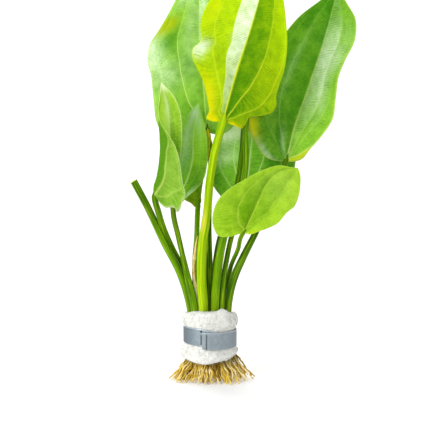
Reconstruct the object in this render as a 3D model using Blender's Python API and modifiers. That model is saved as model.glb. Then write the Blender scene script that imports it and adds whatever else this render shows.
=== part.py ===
"""Echinodorus, a swordplant grown above water and bunched for sale: ten broad leaves on long stalks, one
cut stalk and one dried sheath stand in a short crown. Its trimmed roots are the foot it rests on. A white
mineral-wool collar is wrapped round the crown and held by a soft metal strip.

Metres, +Z up, -Y towards the viewer. Lengths below are in millimetres. The origin is on the cut end of
the middle root, on the surface that the plant stands on."""

import math
import random

import bmesh
import bpy
import numpy as np
from mathutils import Vector

MM = 0.001
GAP = 0.3  # left between pieces that touch in the real plant

# Blades. A pattern is given as (along, across) in the blade's own plane, from the joint with the stalk
# to the tip, with across positive to the viewer's right. The fold and curl lift the two halves towards
# the viewer where they are positive; arch lifts the middle of the blade, and the waves, given as size,
# count and phase, run along its margins.
BLADE_THICKNESS = 0.6
BLADE_ROWS = 13
BLADE_COLUMNS = 9
WAVE_SHIFT = 1.7  # phase between the waves of the two margins

LEAVES = {
    "leaf_front": {
        "joint": (9.6, -14.0, 182.4),
        "tip": (40.2, -27.0, 299.6),
        "left": [(-2, -2.5), (-3, -7), (-1.5, -11), (12, -15.5), (23, -22), (33, -28.5), (46, -28.5),
                 (60, -31.5), (76, -29), (91, -24.5), (106.5, -16)],
        "middle": [(35, 0), (69.5, 1.5), (101.5, 2)],
        "right": [(-2, 4), (-3, 10), (-1, 16), (8.5, 26), (16, 33), (33.5, 31.5), (48.5, 30.5), (62, 28),
                  (88, 17.5), (107, 8)],
        "fold": (-0.35, -0.12), "curl": (-0.10, -0.20), "arch": 5.0, "wave": (1.6, 3.0, 0.6),
        "colour": (0.45, 0.62, 0.02),
    },
    "leaf_right": {
        "joint": (53.1, 10.0, 151.4),
        "tip": (89.4, 30.0, 272.1),
        "left": [(-1.5, -6.5), (-1, -15), (5.5, -23.5), (14, -32), (25, -35.5), (45.5, -34.5), (62, -33),
                 (76, -29), (100, -19.5), (114.5, -9)],
        "middle": [(20, -1), (53, 0.5), (97, 1.5)],
        "right": [(1, 4), (4, 9.5), (12, 13), (24, 18), (37, 21.5), (49.5, 20), (67, 17.5), (77.5, 18.5),
                  (93, 21), (106, 18), (117.5, 9)],
        "fold": (0.15, 0.75), "curl": (0.05, 0.05), "arch": -4.0, "wave": (1.2, 3.0, 2.0),
        "colour": (0.12, 0.40, 0.03),
    },
    "leaf_left": {
        "joint": (-1.4, 12.0, 172.5),
        "tip": (-7.3, 34.0, 292.8),
        "left": [(-4, -4), (-7.5, -13), (-5, -25), (5, -34), (23.5, -36.5), (41, -37.5), (52, -39.5),
                 (62, -37.5), (74, -29.5), (92.5, -18), (110.5, -8.5)],
        "middle": [(14, -1), (32, -1.5), (59.5, -2.5), (91.5, -1.5)],
        "right": [(-2, 3), (-2, 12), (6.5, 21.5), (20, 28.5), (37.5, 32), (55, 31.5), (75, 27.5),
                  (90.5, 21.5), (109.5, 12)],
        "fold": (0.15, 0.20), "curl": (-0.10, 0.05), "arch": -3.0, "wave": (1.6, 2.5, 0.0),
        "colour": (0.25, 0.52, 0.08),
    },
    "leaf_slim": {
        "joint": (-25.1, -1.5, 124.9),
        "tip": (-7.5, 8.0, 192.3),
        "left": [(-1, -1), (1.5, -4), (8, -6), (19, -7.5), (33.5, -8), (47, -7.5), (58, -6.5), (66.5, -2.5)],
        "middle": [(6, 3), (16, 5.5), (33, 5.5), (46, 2.5), (60, 1)],
        "right": [(0, 5), (6, 9), (12.5, 13.5), (20, 16.5), (32.5, 16), (47, 12), (61, 5.5)],
        "fold": (0.20, 0.15), "curl": (0.0, -0.05), "arch": 0.5, "wave": (0.6, 2.5, 1.0),
        "colour": (0.20, 0.45, 0.08),
    },
    "leaf_back": {
        "joint": (23.4, 15.0, 119.0),
        "tip": (34.0, 34.0, 212.2),
        "left": [(-3, -3), (-2.5, -9), (5, -16), (11.5, -22), (22, -26), (39.5, -26.5), (56, -22),
                 (65.5, -16.5), (80.5, -9)],
        "middle": [(22.5, 1), (48, 1), (72.5, 1)],
        "right": [(-2.5, 3), (-2, 10), (4, 18.5), (13.5, 27.5), (24, 32), (33.5, 33), (45.5, 31.5),
                  (59, 26.5), (80, 14.5)],
        "fold": (0.20, 0.10), "curl": (0.05, 0.05), "arch": -3.0, "wave": (0.8, 2.0, 0.0),
        "colour": (0.16, 0.42, 0.06),
    },
    "leaf_low": {
        "joint": (23.2, -17.0, 105.3),
        "tip": (59.6, -27.0, 150.8),
        "left": [(-1.5, -1), (-9, -6), (-13, -11), (-10.5, -18.5), (-2, -25), (6, -27.5), (17, -27),
                 (28, -23.5), (43.5, -17), (53, -10), (56.5, -4)],
        "middle": [(8, -2), (18, -4.5), (27, -7), (38, -9.5), (48.5, -8.5), (55, -4)],
        "right": [(1.5, 3), (8, 7), (14.5, 10), (21.5, 12.5), (34, 13), (38.5, 14), (44.5, 12.5),
                  (51, 9), (57.5, 3)],
        "fold": (0.10, 0.45), "curl": (-0.25, -0.15), "arch": 3.0, "wave": (0.7, 2.0, 0.5),
        "colour": (0.36, 0.58, 0.06),
    },
    "leaf_hidden_left": {
        "joint": (23.5, 7.0, 184.6),
        "tip": (16.1, 4.0, 247.7),
        "left": [(-2.5, -4), (3, -12), (15, -16.5), (31, -17.5), (47.5, -13), (58, -6)],
        "middle": [(16.5, 0), (37.5, 0)],
        "right": [(-2.5, 2), (1.5, 6), (13.5, 8.5), (30, 9), (46.5, 7), (57.5, 4)],
        "fold": (0.20, 0.20), "curl": (0.0, 0.0), "arch": 1.0, "wave": (0.5, 2.0, 0.0),
        "colour": (0.20, 0.45, 0.05),
    },
    "leaf_hidden_right": {
        "joint": (25.8, 1.0, 183.7),
        "tip": (38.4, -4.0, 239.8),
        "left": [(-2.5, -2), (0.5, -8), (10, -13), (26, -13.5), (41.5, -10), (52, -5)],
        "middle": [(16, -1), (37.5, -1)],
        "right": [(-0.5, 3), (4.5, 9.5), (16, 14), (30, 13), (43, 8.5), (51.5, 4)],
        "fold": (0.15, 0.15), "curl": (0.0, 0.0), "arch": -2.0, "wave": (0.5, 2.0, 0.0),
        "colour": (0.20, 0.45, 0.05),
    },
    "leaf_narrow": {
        "joint": (-8.4, 9.0, 121.8),
        "tip": (-1.1, 18.0, 173.6),
        "left": [(-2.5, -1), (0, -5.5), (1.5, -9.5), (6, -10.5), (15.5, -9.5), (29.5, -9.5), (43.5, -7)],
        "middle": [(12.5, 0), (27.5, 0), (41.5, 0)],
        "right": [(1, 1.5), (6.5, 3), (17.5, 3.5), (31.5, 3), (40.5, 3), (49, 2.5)],
        "fold": (-0.30, -0.50), "curl": (0.0, 0.0), "arch": 0.0, "wave": (0.3, 2.0, 0.0),
        "colour": (0.10, 0.32, 0.03),
    },
}

# The rolled leaf is given by four lines from joint to tip: its right margin, its midrib, the fold where
# the left half turns forward, and the margin of that half, which lies over the front.
ROLLED_JOINT = (-37.4, -12.0, 130.3)
ROLLED_TIP = (-33.0, -3.0, 207.2)
ROLLED_LINES = [
    [(-34.5, -11.5, 129.5), (-29.5, -10.5, 132.5), (-23.5, -9, 142), (-20, -8, 154.5), (-18.6, -8, 170),
     (-19.4, -8, 185), (-23, -7, 196), (-30.3, -4, 204.5)],
    [(-33, -9.5, 137), (-28.3, -7, 150.7), (-27, -5.5, 164.3), (-27.6, -4.5, 180), (-29, -3.5, 192.2)],
    [(-37.8, -13.5, 135.6), (-35.6, -14, 144), (-33.6, -13.5, 158), (-33.6, -13, 170), (-34.4, -11.5, 180),
     (-33.6, -8, 193.2)],
    [(-35.6, -15, 129), (-33, -17, 125.8), (-26, -19, 124.2), (-20, -20, 126.5), (-16.4, -21, 131.5),
     (-18, -21, 140), (-19.6, -20, 151.4), (-22.8, -19, 164.2), (-28, -18, 173), (-33, -16, 180.5),
     (-34.8, -12.5, 187), (-33.6, -8.5, 197)],
]
ROLLED_COLOUR = (0.36, 0.58, 0.06)

# Crown and roots. The roots run down through the collar, spread below it and are trimmed level.
CROWN_RADIUS = 15.0
CROWN_TAPER = 0.97
CROWN_BOTTOM = 20.0
CROWN_TOP = 34.0
CROWN_SIDES = 20
ROOT_COUNT = 38
ROOT_STEPS = 6
ROOT_RADIUS = (0.75, 1.05)
ROOT_TIP_SHRINK = 0.8
MIDDLE_ROOT_RADIUS = 1.6
ROOT_START = 26.0  # height of a root's beginning, inside the crown
ROOT_SPREAD = 13.2  # how far from the middle the outermost roots begin
ROOT_NECK = 14.5  # height at which the roots leave the collar
ROOT_NECK_TILT = 1.5  # higher than that on the right, lower on the left
ROOT_BEND = 6.5  # height at which they bend outwards
ROOT_ARCH = 2.5  # how much higher the outermost roots on the right bend
ROOT_REACH = (28.5, 21.5)  # sideways, and towards the viewer and away
ROOT_SHIFT = 1.5  # the outermost roots reach this much further on the right
OUTER_ROOT = 0.88  # roots beyond this share of the spread may end above the surface
BELOW_SURFACE = -1.0  # where the others end before the level cut
HIGHEST_END = 3.0
SEED = 11
CUTTER_SIZE = (90.0, 90.0, 20.0)
ROOT_COLOUR = (0.55, 0.36, 0.10)

# Stalks: radius at the foot and under the blade, the leaf they carry, and the line from the crown up to
# the leaf's joint, whose own point is added to it. The foot of each stands on the crown.
FOOT = CROWN_TOP + GAP
STALK_STEPS = 12
NECK_RADIUS = 0.9
NECK_SHORT = 1.1  # the stalk ends this far before the blade's joint
STALKS = {
    "stalk_front": {
        "radii": (3.2, 2.1), "leaf": "leaf_front",
        "line": [(-4.3, -9.3, FOOT), (-4.3, -9.5, 50), (-5.6, -9.5, 74), (-4.8, -9.5, 96.5),
                 (-1.7, -10, 118), (0.4, -11, 141), (3.9, -12, 161.5)],
    },
    "stalk_right": {
        "radii": (2.7, 2.0), "leaf": "leaf_right",
        "line": [(12.4, -2.2, FOOT), (12.6, -2.2, 52.5), (15.8, -1.5, 71.5), (22.3, 0, 86),
                 (32.4, 3, 103.4), (43.2, 6, 127)],
    },
    "stalk_left": {
        "radii": (2.1, 1.9), "leaf": "leaf_left",
        "line": [(-0.3, -2.2, FOOT), (0, -2.2, 52.6), (0, 0.5, 83.8), (-0.7, 3, 101), (-1, 7, 140)],
    },
    "stalk_slim": {
        "radii": (2.2, 1.8), "leaf": "leaf_slim",
        "line": [(-9.9, -7, FOOT), (-10.2, -7, 49.2), (-15.9, -6.5, 76.5), (-21.3, -5, 100.3),
                 (-24.9, -3, 117)],
    },
    "stalk_back": {
        "radii": (1.8, 1.8), "leaf": "leaf_back",
        "line": [(9, -6.4, FOOT), (9, -6.2, 53.3), (10.4, -4, 74), (12.1, 0.5, 85.4), (15, 6, 98.3)],
    },
    "stalk_low": {
        "radii": (1.8, 1.5), "leaf": "leaf_low",
        "line": [(10.4, 4.2, FOOT), (11, 4.4, 51.4), (12.6, 4.2, 66.3), (14.5, 2.6, 77.8),
                 (19.4, -6.5, 91.8)],
    },
    "stalk_rolled": {
        "radii": (2.2, 1.7), "leaf": "leaf_rolled",
        "line": [(-10.8, 4.4, FOOT), (-12, 4.4, 51.4), (-18.8, 2.5, 78), (-24.6, 0, 91),
                 (-30.3, -4, 104.7), (-34.6, -8.5, 118.3)],
    },
    "stalk_narrow": {
        "radii": (1.6, 1.4), "leaf": "leaf_narrow",
        "line": [(-6.2, 0.8, FOOT), (-6.8, 0.8, 52), (-10.4, 3, 77.7), (-9.2, 7, 99.6)],
    },
    "stalk_hidden_left": {
        "radii": (2.0, 1.8), "leaf": "leaf_hidden_left",
        "line": [(4.2, 3.2, FOOT), (3.8, 3.2, 51.7), (4.6, 4.5, 83.4), (7.4, 5.5, 98.7),
                 (12.8, 6.5, 114.6), (20, 7.5, 140.2), (23, 7.6, 165)],
    },
    "stalk_hidden_right": {
        "radii": (2.8, 1.9), "leaf": "leaf_hidden_right",
        "line": [(3.7, -7.6, FOOT), (3.7, -7.6, 50), (5, -7, 71), (7, -6, 86.2), (9.8, -5, 99.3),
                 (17.6, -3, 119.2), (24.3, 0, 143)],
    },
    "stalk_cut": {
        "radii": (2.4, 2.5), "leaf": None,
        "line": [(-11.6, -1.2, FOOT), (-12.9, -1.5, 48.2), (-20.3, -3, 74.5), (-32.8, -4, 96.3),
                 (-44, -5, 123), (-52.1, -6, 139.6)],
    },
}
STALK_COLOUR = (0.25, 0.45, 0.03)

# The dried sheath of an older leaf stands between the front stalks.
SHEATH_RADIUS = 0.9
SHEATH_STEPS = 10
SHEATH_LINE = [(-8.0, -3.6, FOOT), (-8.2, -3.4, 52.9), (-9.4, -3.6, 62), (-10.4, -3.4, 72.5),
               (-10.4, -2.6, 80), (-9.7, -1.5, 89.7), (-8.5, 0.5, 100.9)]
SHEATH_COLOUR = (0.55, 0.38, 0.10)

# Mineral-wool collar, squeezed to a waist by the strip. Behind the stalks it is pressed in over the
# crown. Its rims rise and fall a little: front and side are measured towards the viewer and the right.
COLLAR_SEGMENTS = 28
COLLAR_CENTRE_X = 0.3
COLLAR_INNER = 16.2
COLLAR_BACK_FILL = 6.5
COLLAR_FLARE = 20.0
COLLAR_WAIST = 17.4
COLLAR_SHOULDER = 19.3
COLLAR_BOTTOM = 16.6
COLLAR_BOTTOM_TILT = (1.4, -1.6)  # side, front
COLLAR_TOP = 48.3
COLLAR_TOP_TILT = (0.0, 2.2)
COLLAR_RIPPLE = 0.5
COLLAR_COLOUR = (0.88, 0.88, 0.85)

# Soft metal strip. It starts in front of the crown, goes round by the left, the back and the right, and
# its end lies over its start.
STRIP_WIDTH = 12.0
STRIP_THICKNESS = 0.9
STRIP_MIDDLE = 31.2
STRIP_SIDE_DROP = 0.9  # lower on the right than on the left
STRIP_TURN_DROP = 2.2  # lower at its end than at its start
STRIP_START = math.radians(285)
STRIP_SWEEP = math.radians(390)
STRIP_CLIMB = (math.radians(346), math.radians(358))  # where along the sweep the end climbs over the start
STRIP_STEPS = 65
STRIP_COLOUR = (0.28, 0.32, 0.37)


def clear_scene():
    for thing in list(bpy.data.objects):
        bpy.data.objects.remove(thing, do_unlink=True)


def collection_named(name):
    made = bpy.data.collections.new(name)
    bpy.context.scene.collection.children.link(made)
    return made


def principled(name, colour, roughness, metallic=0.0):
    material = bpy.data.materials.new(name)
    material.use_nodes = True
    shader = material.node_tree.nodes["Principled BSDF"]
    shader.inputs["Base Color"].default_value = (*colour, 1)
    shader.inputs["Roughness"].default_value = roughness
    shader.inputs["Metallic"].default_value = metallic
    return material


def add_object(name, data, material, collection):
    data.materials.append(material)
    made = bpy.data.objects.new(name, data)
    collection.objects.link(made)
    return made


def mesh_from(bm, name):
    mesh = bpy.data.meshes.new(name)
    bm.to_mesh(mesh)
    bm.free()
    return mesh


def smooth_line(points, count):
    """Evenly spread points of the smooth curve through the given ones."""
    through = np.array(points, float)
    steps = np.linalg.norm(np.diff(through, axis=0), axis=1)
    knots = np.concatenate([[0], np.cumsum(steps)])
    slopes = np.gradient(through, knots, axis=0)
    places = np.linspace(0, knots[-1], count)
    left = np.clip(np.searchsorted(knots, places, side="right") - 1, 0, len(knots) - 2)
    width = (knots[left + 1] - knots[left])[:, None]
    s = (places - knots[left])[:, None] / width
    return (
        (2 * s**3 - 3 * s**2 + 1) * through[left]
        + (s**3 - 2 * s**2 + s) * width * slopes[left]
        + (3 * s**2 - 2 * s**3) * through[left + 1]
        + (s**3 - s**2) * width * slopes[left + 1]
    )


def eased(place, start, end):
    """0 before start, 1 after end and a soft step between them."""
    s = min(1, max(0, (place - start) / (end - start)))
    return s * s * (3 - 2 * s)


def sheet_mesh(name, grid):
    """A sheet over a grid of points whose first and last rows are each one point."""
    rows, columns = grid.shape[:2]
    bm = bmesh.new()
    first = bm.verts.new(grid[0, 0] * MM)
    inner = [[bm.verts.new(point * MM) for point in row] for row in grid[1:-1]]
    last = bm.verts.new(grid[-1, 0] * MM)
    for j in range(columns - 1):
        bm.faces.new((first, inner[0][j], inner[0][j + 1]))
        bm.faces.new((inner[-1][j + 1], inner[-1][j], last))
        for i in range(rows - 3):
            bm.faces.new((inner[i][j], inner[i + 1][j], inner[i + 1][j + 1], inner[i][j + 1]))
    return mesh_from(bm, name)


def leaf_axes(joint, tip):
    """Along the blade, across it to the viewer's right, and out of it towards the viewer."""
    along = Vector(tip) - Vector(joint)
    towards = Vector((0, -1, 0))
    along.normalize()
    towards -= along * towards.dot(along)
    towards.normalize()
    return along, along.cross(towards), towards


def blade_grid(leaf):
    """Points of the blade, in rows from joint to tip and columns from the left margin to the right."""
    length = (Vector(leaf["tip"]) - Vector(leaf["joint"])).length
    along, across, towards = (np.array(axis) for axis in leaf_axes(leaf["joint"], leaf["tip"]))
    left, middle, right = (
        smooth_line([(0, 0)] + leaf[line] + [(length, 0)], BLADE_ROWS) for line in ("left", "middle", "right")
    )
    size, count, phase = leaf["wave"]
    grid = np.zeros((BLADE_ROWS, BLADE_COLUMNS, 3))
    for i in range(BLADE_ROWS):
        t = i / (BLADE_ROWS - 1)
        for j in range(BLADE_COLUMNS):
            v = 2 * j / (BLADE_COLUMNS - 1) - 1
            side = 0 if v < 0 else 1
            margin = (left, right)[side][i]
            spot = middle[i] + (margin - middle[i]) * abs(v)
            half = np.linalg.norm(margin - middle[i])
            lift = leaf["fold"][side] * half * abs(v) + leaf["curl"][side] * half * v * v
            lift += leaf["arch"] * math.sin(math.pi * t)
            lift += size * math.sin(2 * math.pi * count * t + phase + side * WAVE_SHIFT) * abs(v) ** 3
            lift *= min(1, 4 * t, 6 * (1 - t))
            grid[i, j] = np.array(leaf["joint"]) + along * spot[0] + across * spot[1] + towards * lift
    return grid


def rolled_grid():
    """Points of the rolled leaf, read across its four lines."""
    lines = [smooth_line([ROLLED_JOINT] + line + [ROLLED_TIP], BLADE_ROWS) for line in ROLLED_LINES]
    rows = [smooth_line([line[i] for line in lines], BLADE_COLUMNS) for i in range(1, BLADE_ROWS - 1)]
    first = [ROLLED_JOINT] * BLADE_COLUMNS
    last = [ROLLED_TIP] * BLADE_COLUMNS
    return np.array([first, *rows, last])


def blade(name, grid, colour, collection):
    made = add_object(name, sheet_mesh(name, grid), principled(name, colour, 0.4), collection)
    shell = made.modifiers.new("Thickness", "SOLIDIFY")
    shell.thickness = BLADE_THICKNESS * MM
    shell.offset = 0
    made.data.shade_smooth()


def round_curve(name, bevel_resolution):
    """An empty curve whose splines become tubes with closed ends, their radius given in millimetres."""
    curve = bpy.data.curves.new(name, "CURVE")
    curve.dimensions = "3D"
    curve.bevel_depth = MM
    curve.bevel_resolution = bevel_resolution
    curve.use_fill_caps = True
    return curve


def add_strand(curve, line, radii, steps):
    """A strand along the smooth line. Its radii are pairs of a place, from 0 to 1, and the radius there."""
    points = smooth_line(line, steps)
    strand = curve.splines.new("POLY")
    strand.points.add(steps - 1)
    places, sizes = zip(*radii)
    for i, point in enumerate(points):
        strand.points[i].co = (*(point * MM), 1)
        strand.points[i].radius = float(np.interp(i / (steps - 1), places, sizes))


def stalk(name, collection):
    foot, top = STALKS[name]["radii"]
    line = STALKS[name]["line"]
    leaf = STALKS[name]["leaf"]
    radii = [(0, foot), (1, top)]
    if leaf:
        joint = Vector(ROLLED_JOINT if leaf == "leaf_rolled" else LEAVES[leaf]["joint"])
        heading = (joint - Vector(line[-1])).normalized()
        line = line + [tuple(joint - heading * NECK_SHORT)]
        radii = [(0, foot), (0.35, foot), (0.4, top), (0.9, top), (1, NECK_RADIUS)]
    curve = round_curve(name, 2)
    add_strand(curve, line, radii, STALK_STEPS)
    add_object(name, curve, principled(name, STALK_COLOUR, 0.4), collection)


def dry_sheath(collection):
    curve = round_curve("dry_sheath", 1)
    radii = [(0, SHEATH_RADIUS), (0.5, SHEATH_RADIUS), (1, SHEATH_RADIUS / 2)]
    add_strand(curve, SHEATH_LINE, radii, SHEATH_STEPS)
    add_object("dry_sheath", curve, principled("dry_sheath", SHEATH_COLOUR, 0.6), collection)


def as_helper(name, mesh, helpers):
    made = bpy.data.objects.new(name, mesh)
    helpers.objects.link(made)
    made.hide_render = True
    made.display_type = "WIRE"
    return made


def mesh_of_curve(name, curve):
    """The curve as a mesh with its caps welded on."""
    holder = bpy.data.objects.new(name, curve)
    bpy.context.scene.collection.objects.link(holder)
    graph = bpy.context.evaluated_depsgraph_get()
    mesh = bpy.data.meshes.new_from_object(holder.evaluated_get(graph))
    bpy.data.objects.remove(holder, do_unlink=True)
    bm = bmesh.new()
    bm.from_mesh(mesh)
    bmesh.ops.remove_doubles(bm, verts=bm.verts, dist=0.001 * MM)
    bmesh.ops.recalc_face_normals(bm, faces=bm.faces)
    return mesh_from(bm, name)


def root_lines():
    """Each root's line and radius: from the crown down through the collar, then out to its cut end."""
    chance = random.Random(SEED)
    golden_turn = math.pi * (3 - math.sqrt(5))
    lines = [([(0, 0, ROOT_START), (0, 0, ROOT_BEND), (0, 0, BELOW_SURFACE)], MIDDLE_ROOT_RADIUS)]
    for i in range(1, ROOT_COUNT):
        out = math.sqrt((i + 0.5) / ROOT_COUNT)
        turn = i * golden_turn + chance.uniform(-0.2, 0.2)
        end_turn = turn + chance.uniform(-0.25, 0.25)
        heading = Vector((math.cos(turn), math.sin(turn)))
        start = heading * ROOT_SPREAD * out
        reach = out * chance.uniform(0.82, 1.0)
        end = Vector((ROOT_REACH[0] * math.cos(end_turn), ROOT_REACH[1] * math.sin(end_turn))) * reach
        end.x += ROOT_SHIFT * out
        bend = start * 0.35 + end * 0.65
        bend_height = ROOT_BEND + chance.uniform(-0.8, 1.2) + ROOT_ARCH * max(0, heading.x) * out * out
        end_height = BELOW_SURFACE if out < OUTER_ROOT else chance.uniform(BELOW_SURFACE, HIGHEST_END)
        line = [
            (*start, ROOT_START),
            (*(start + heading * 0.6), ROOT_NECK + ROOT_NECK_TILT * heading.x),
            (*bend, bend_height),
            (*end, end_height),
        ]
        lines.append((line, chance.uniform(*ROOT_RADIUS)))
    return lines


def root_strands(helpers):
    curve = round_curve("root_strands", 1)
    for line, radius in root_lines():
        add_strand(curve, line, [(0, radius), (0.5, radius), (1, radius * ROOT_TIP_SHRINK)], ROOT_STEPS)
    return as_helper("root_strands", mesh_of_curve("root_strands", curve), helpers)


def below_surface(helpers):
    width, depth, height = CUTTER_SIZE
    bm = bmesh.new()
    bmesh.ops.create_cube(bm, size=1)
    bmesh.ops.scale(bm, vec=Vector((width, depth, height)) * MM, verts=bm.verts)
    bmesh.ops.translate(bm, vec=(0, 0, -height / 2 * MM), verts=bm.verts)
    return as_helper("below_surface", mesh_from(bm, "below_surface"), helpers)


def crown_and_roots(collection, helpers):
    """The crown and its roots grew as one piece: the strands are united with it, then cut level."""
    bm = bmesh.new()
    bmesh.ops.create_cone(
        bm, cap_ends=True, segments=CROWN_SIDES, radius1=CROWN_RADIUS * CROWN_TAPER * MM,
        radius2=CROWN_RADIUS * MM, depth=(CROWN_TOP - CROWN_BOTTOM) * MM,
    )
    bmesh.ops.translate(bm, vec=(0, 0, (CROWN_TOP + CROWN_BOTTOM) / 2 * MM), verts=bm.verts)
    material = principled("crown_and_roots", ROOT_COLOUR, 0.6)
    made = add_object("crown_and_roots", mesh_from(bm, "crown_and_roots"), material, collection)
    joined = made.modifiers.new("Roots", "BOOLEAN")
    joined.operation = "UNION"
    joined.object = root_strands(helpers)
    joined.use_self = True
    level = made.modifiers.new("Cut level", "BOOLEAN")
    level.operation = "DIFFERENCE"
    level.object = below_surface(helpers)


def collar_profile(turn):
    """The sleeve's section at one turn, as radius and height: up its outer side and down its bore."""
    side, front = math.cos(turn), -math.sin(turn)
    waist = STRIP_MIDDLE - STRIP_SIDE_DROP * side
    half = STRIP_WIDTH / 2 + 1
    bottom = COLLAR_BOTTOM + COLLAR_BOTTOM_TILT[0] * side + COLLAR_BOTTOM_TILT[1] * front
    bottom += COLLAR_RIPPLE * math.cos(3 * turn)
    top = COLLAR_TOP + COLLAR_TOP_TILT[0] * side + COLLAR_TOP_TILT[1] * front
    top += COLLAR_RIPPLE * math.sin(4 * turn)
    above_crown = COLLAR_INNER - COLLAR_BACK_FILL * max(0, -front) ** 2
    return [
        (COLLAR_INNER, bottom + 0.6),
        (COLLAR_INNER + 1.6, bottom),
        (COLLAR_FLARE, bottom + 0.5),
        (COLLAR_FLARE - 0.5, bottom + 3.5),
        (COLLAR_WAIST, waist - half),
        (COLLAR_WAIST, waist + half),
        (COLLAR_SHOULDER, waist + half + 3.2),
        (COLLAR_SHOULDER, top - 3.5),
        (COLLAR_SHOULDER - 1.0, top - 0.5),
        (above_crown + 1.2, top),
        (above_crown, top - 0.8),
        (above_crown, CROWN_TOP + 2 * GAP + 0.2),
        (COLLAR_INNER, CROWN_TOP + 2 * GAP),
    ]


def wool_collar(collection):
    bm = bmesh.new()
    rings = []
    for k in range(COLLAR_SEGMENTS):
        turn = 2 * math.pi * k / COLLAR_SEGMENTS
        rings.append([
            bm.verts.new(Vector((COLLAR_CENTRE_X + r * math.cos(turn), r * math.sin(turn), z)) * MM)
            for r, z in collar_profile(turn)
        ])
    for near, far in zip(rings, rings[1:] + rings[:1]):
        for i in range(len(near)):
            n = (i + 1) % len(near)
            bm.faces.new((near[i], far[i], far[n], near[n]))
    bmesh.ops.recalc_face_normals(bm, faces=bm.faces)
    mesh = mesh_from(bm, "wool_collar")
    add_object("wool_collar", mesh, principled("wool_collar", COLLAR_COLOUR, 0.95), collection)


def metal_strip(collection):
    inner = COLLAR_WAIST + GAP + STRIP_THICKNESS / 2
    bm = bmesh.new()
    rows = []
    for i in range(STRIP_STEPS + 1):
        part = i / STRIP_STEPS
        turn = STRIP_START - STRIP_SWEEP * part
        radius = inner + (STRIP_THICKNESS + GAP) * eased(STRIP_SWEEP * part, *STRIP_CLIMB)
        middle = STRIP_MIDDLE - STRIP_SIDE_DROP * math.cos(turn) + STRIP_TURN_DROP * (0.5 - part)
        x, y = COLLAR_CENTRE_X + radius * math.cos(turn), radius * math.sin(turn)
        rows.append([
            bm.verts.new(Vector((x, y, middle + edge)) * MM) for edge in (-STRIP_WIDTH / 2, STRIP_WIDTH / 2)
        ])
    for near, far in zip(rows, rows[1:]):
        bm.faces.new((near[0], near[1], far[1], far[0]))
    material = principled("metal_strip", STRIP_COLOUR, 0.4, 0.8)
    made = add_object("metal_strip", mesh_from(bm, "metal_strip"), material, collection)
    shell = made.modifiers.new("Thickness", "SOLIDIFY")
    shell.thickness = STRIP_THICKNESS * MM
    shell.offset = 0


def build():
    clear_scene()
    plant = collection_named("Echinodorus")
    helpers = collection_named("Helpers")
    for name, leaf in LEAVES.items():
        blade(name, blade_grid(leaf), leaf["colour"], plant)
    blade("leaf_rolled", rolled_grid(), ROLLED_COLOUR, plant)
    for name in STALKS:
        stalk(name, plant)
    dry_sheath(plant)
    crown_and_roots(plant, helpers)
    wool_collar(plant)
    metal_strip(plant)


build()
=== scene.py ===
import math
import random

import bpy
import numpy as np
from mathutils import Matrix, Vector, noise


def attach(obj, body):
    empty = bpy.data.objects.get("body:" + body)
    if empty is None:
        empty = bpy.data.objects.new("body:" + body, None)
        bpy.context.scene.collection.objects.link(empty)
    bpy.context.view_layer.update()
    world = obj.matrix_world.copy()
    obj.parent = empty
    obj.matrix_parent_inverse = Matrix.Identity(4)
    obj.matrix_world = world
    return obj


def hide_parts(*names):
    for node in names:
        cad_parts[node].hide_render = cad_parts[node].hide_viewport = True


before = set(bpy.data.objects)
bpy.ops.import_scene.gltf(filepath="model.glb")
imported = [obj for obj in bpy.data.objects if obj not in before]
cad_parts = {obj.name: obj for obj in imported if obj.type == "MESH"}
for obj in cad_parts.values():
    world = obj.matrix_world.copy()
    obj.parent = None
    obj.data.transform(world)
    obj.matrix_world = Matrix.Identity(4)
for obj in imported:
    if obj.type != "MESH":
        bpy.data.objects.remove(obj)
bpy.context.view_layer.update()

# Crown and roots
# The short crown of the plant with the roots that grew from it: living, corky, golden-brown fibre.
# They come down through the wool, spread out, and were trimmed level with a knife. The plant stands
# on their cut ends.
MM = 0.001
ROOT_COUNT = 38
ROOT_RADIUS = (0.75, 1.05)
MIDDLE_ROOT_RADIUS = 1.6
ROOT_START = 26.0
ROOT_SPREAD = 13.2
ROOT_NECK = 14.5
ROOT_NECK_TILT = 1.5
ROOT_BEND = 6.5
ROOT_ARCH = 2.5
ROOT_REACH = (28.5, 21.5)
ROOT_SHIFT = 1.5
OUTER_ROOT = 0.88
BELOW_SURFACE = -1.0
HIGHEST_END = 3.0
ROOT_SEED = 11
CUT_LEVEL = 0.15
FILL_ROOTS = 84  # thinner roots between the main ones
FILL_RADIUS = (0.35, 0.75)
FILL_SEED = 5
# Roots that arch out to each side and to the front: how many, the turn from and to in degrees, the
# reach from and to, and the height of their shoulder.
SIDE_FANS = [
    (20, -66, 44, 24.0, 32.5, 17.5),
    (16, 144, 220, 22.0, 30.5, 13.5),
    (30, 212, 328, 21.0, 28.5, 9.0),
]
FAN_RADIUS = (0.4, 0.8)
FAN_SEED = 3
ROOTLETS = 150
ROOTLET_RADIUS = 0.13
ROOTLET_SEED = 8
ROOT_STEPS = 26
ROOT_SIDES = 9
ROOTLET_SIDES = 5
ROOT_GRAIN = 0.22  # how far the grain is drawn out along a root
LOWEST_SKIN = 0.02  # how close a root's skin comes to the surface
ANY_PHASE = (0, 6.3)  # in radians
CROWN_RADIUS = 14.6
CROWN_BOTTOM = 20.0
CROWN_TOP = 34.0


def colour(code):
    """The linear colour of an sRGB hex value."""
    parts = [int(code[i:i + 2], 16) / 255 for i in (1, 3, 5)]
    return (*(p / 12.92 if p <= 0.04045 else ((p + 0.055) / 1.055) ** 2.4 for p in parts), 1)


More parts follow.
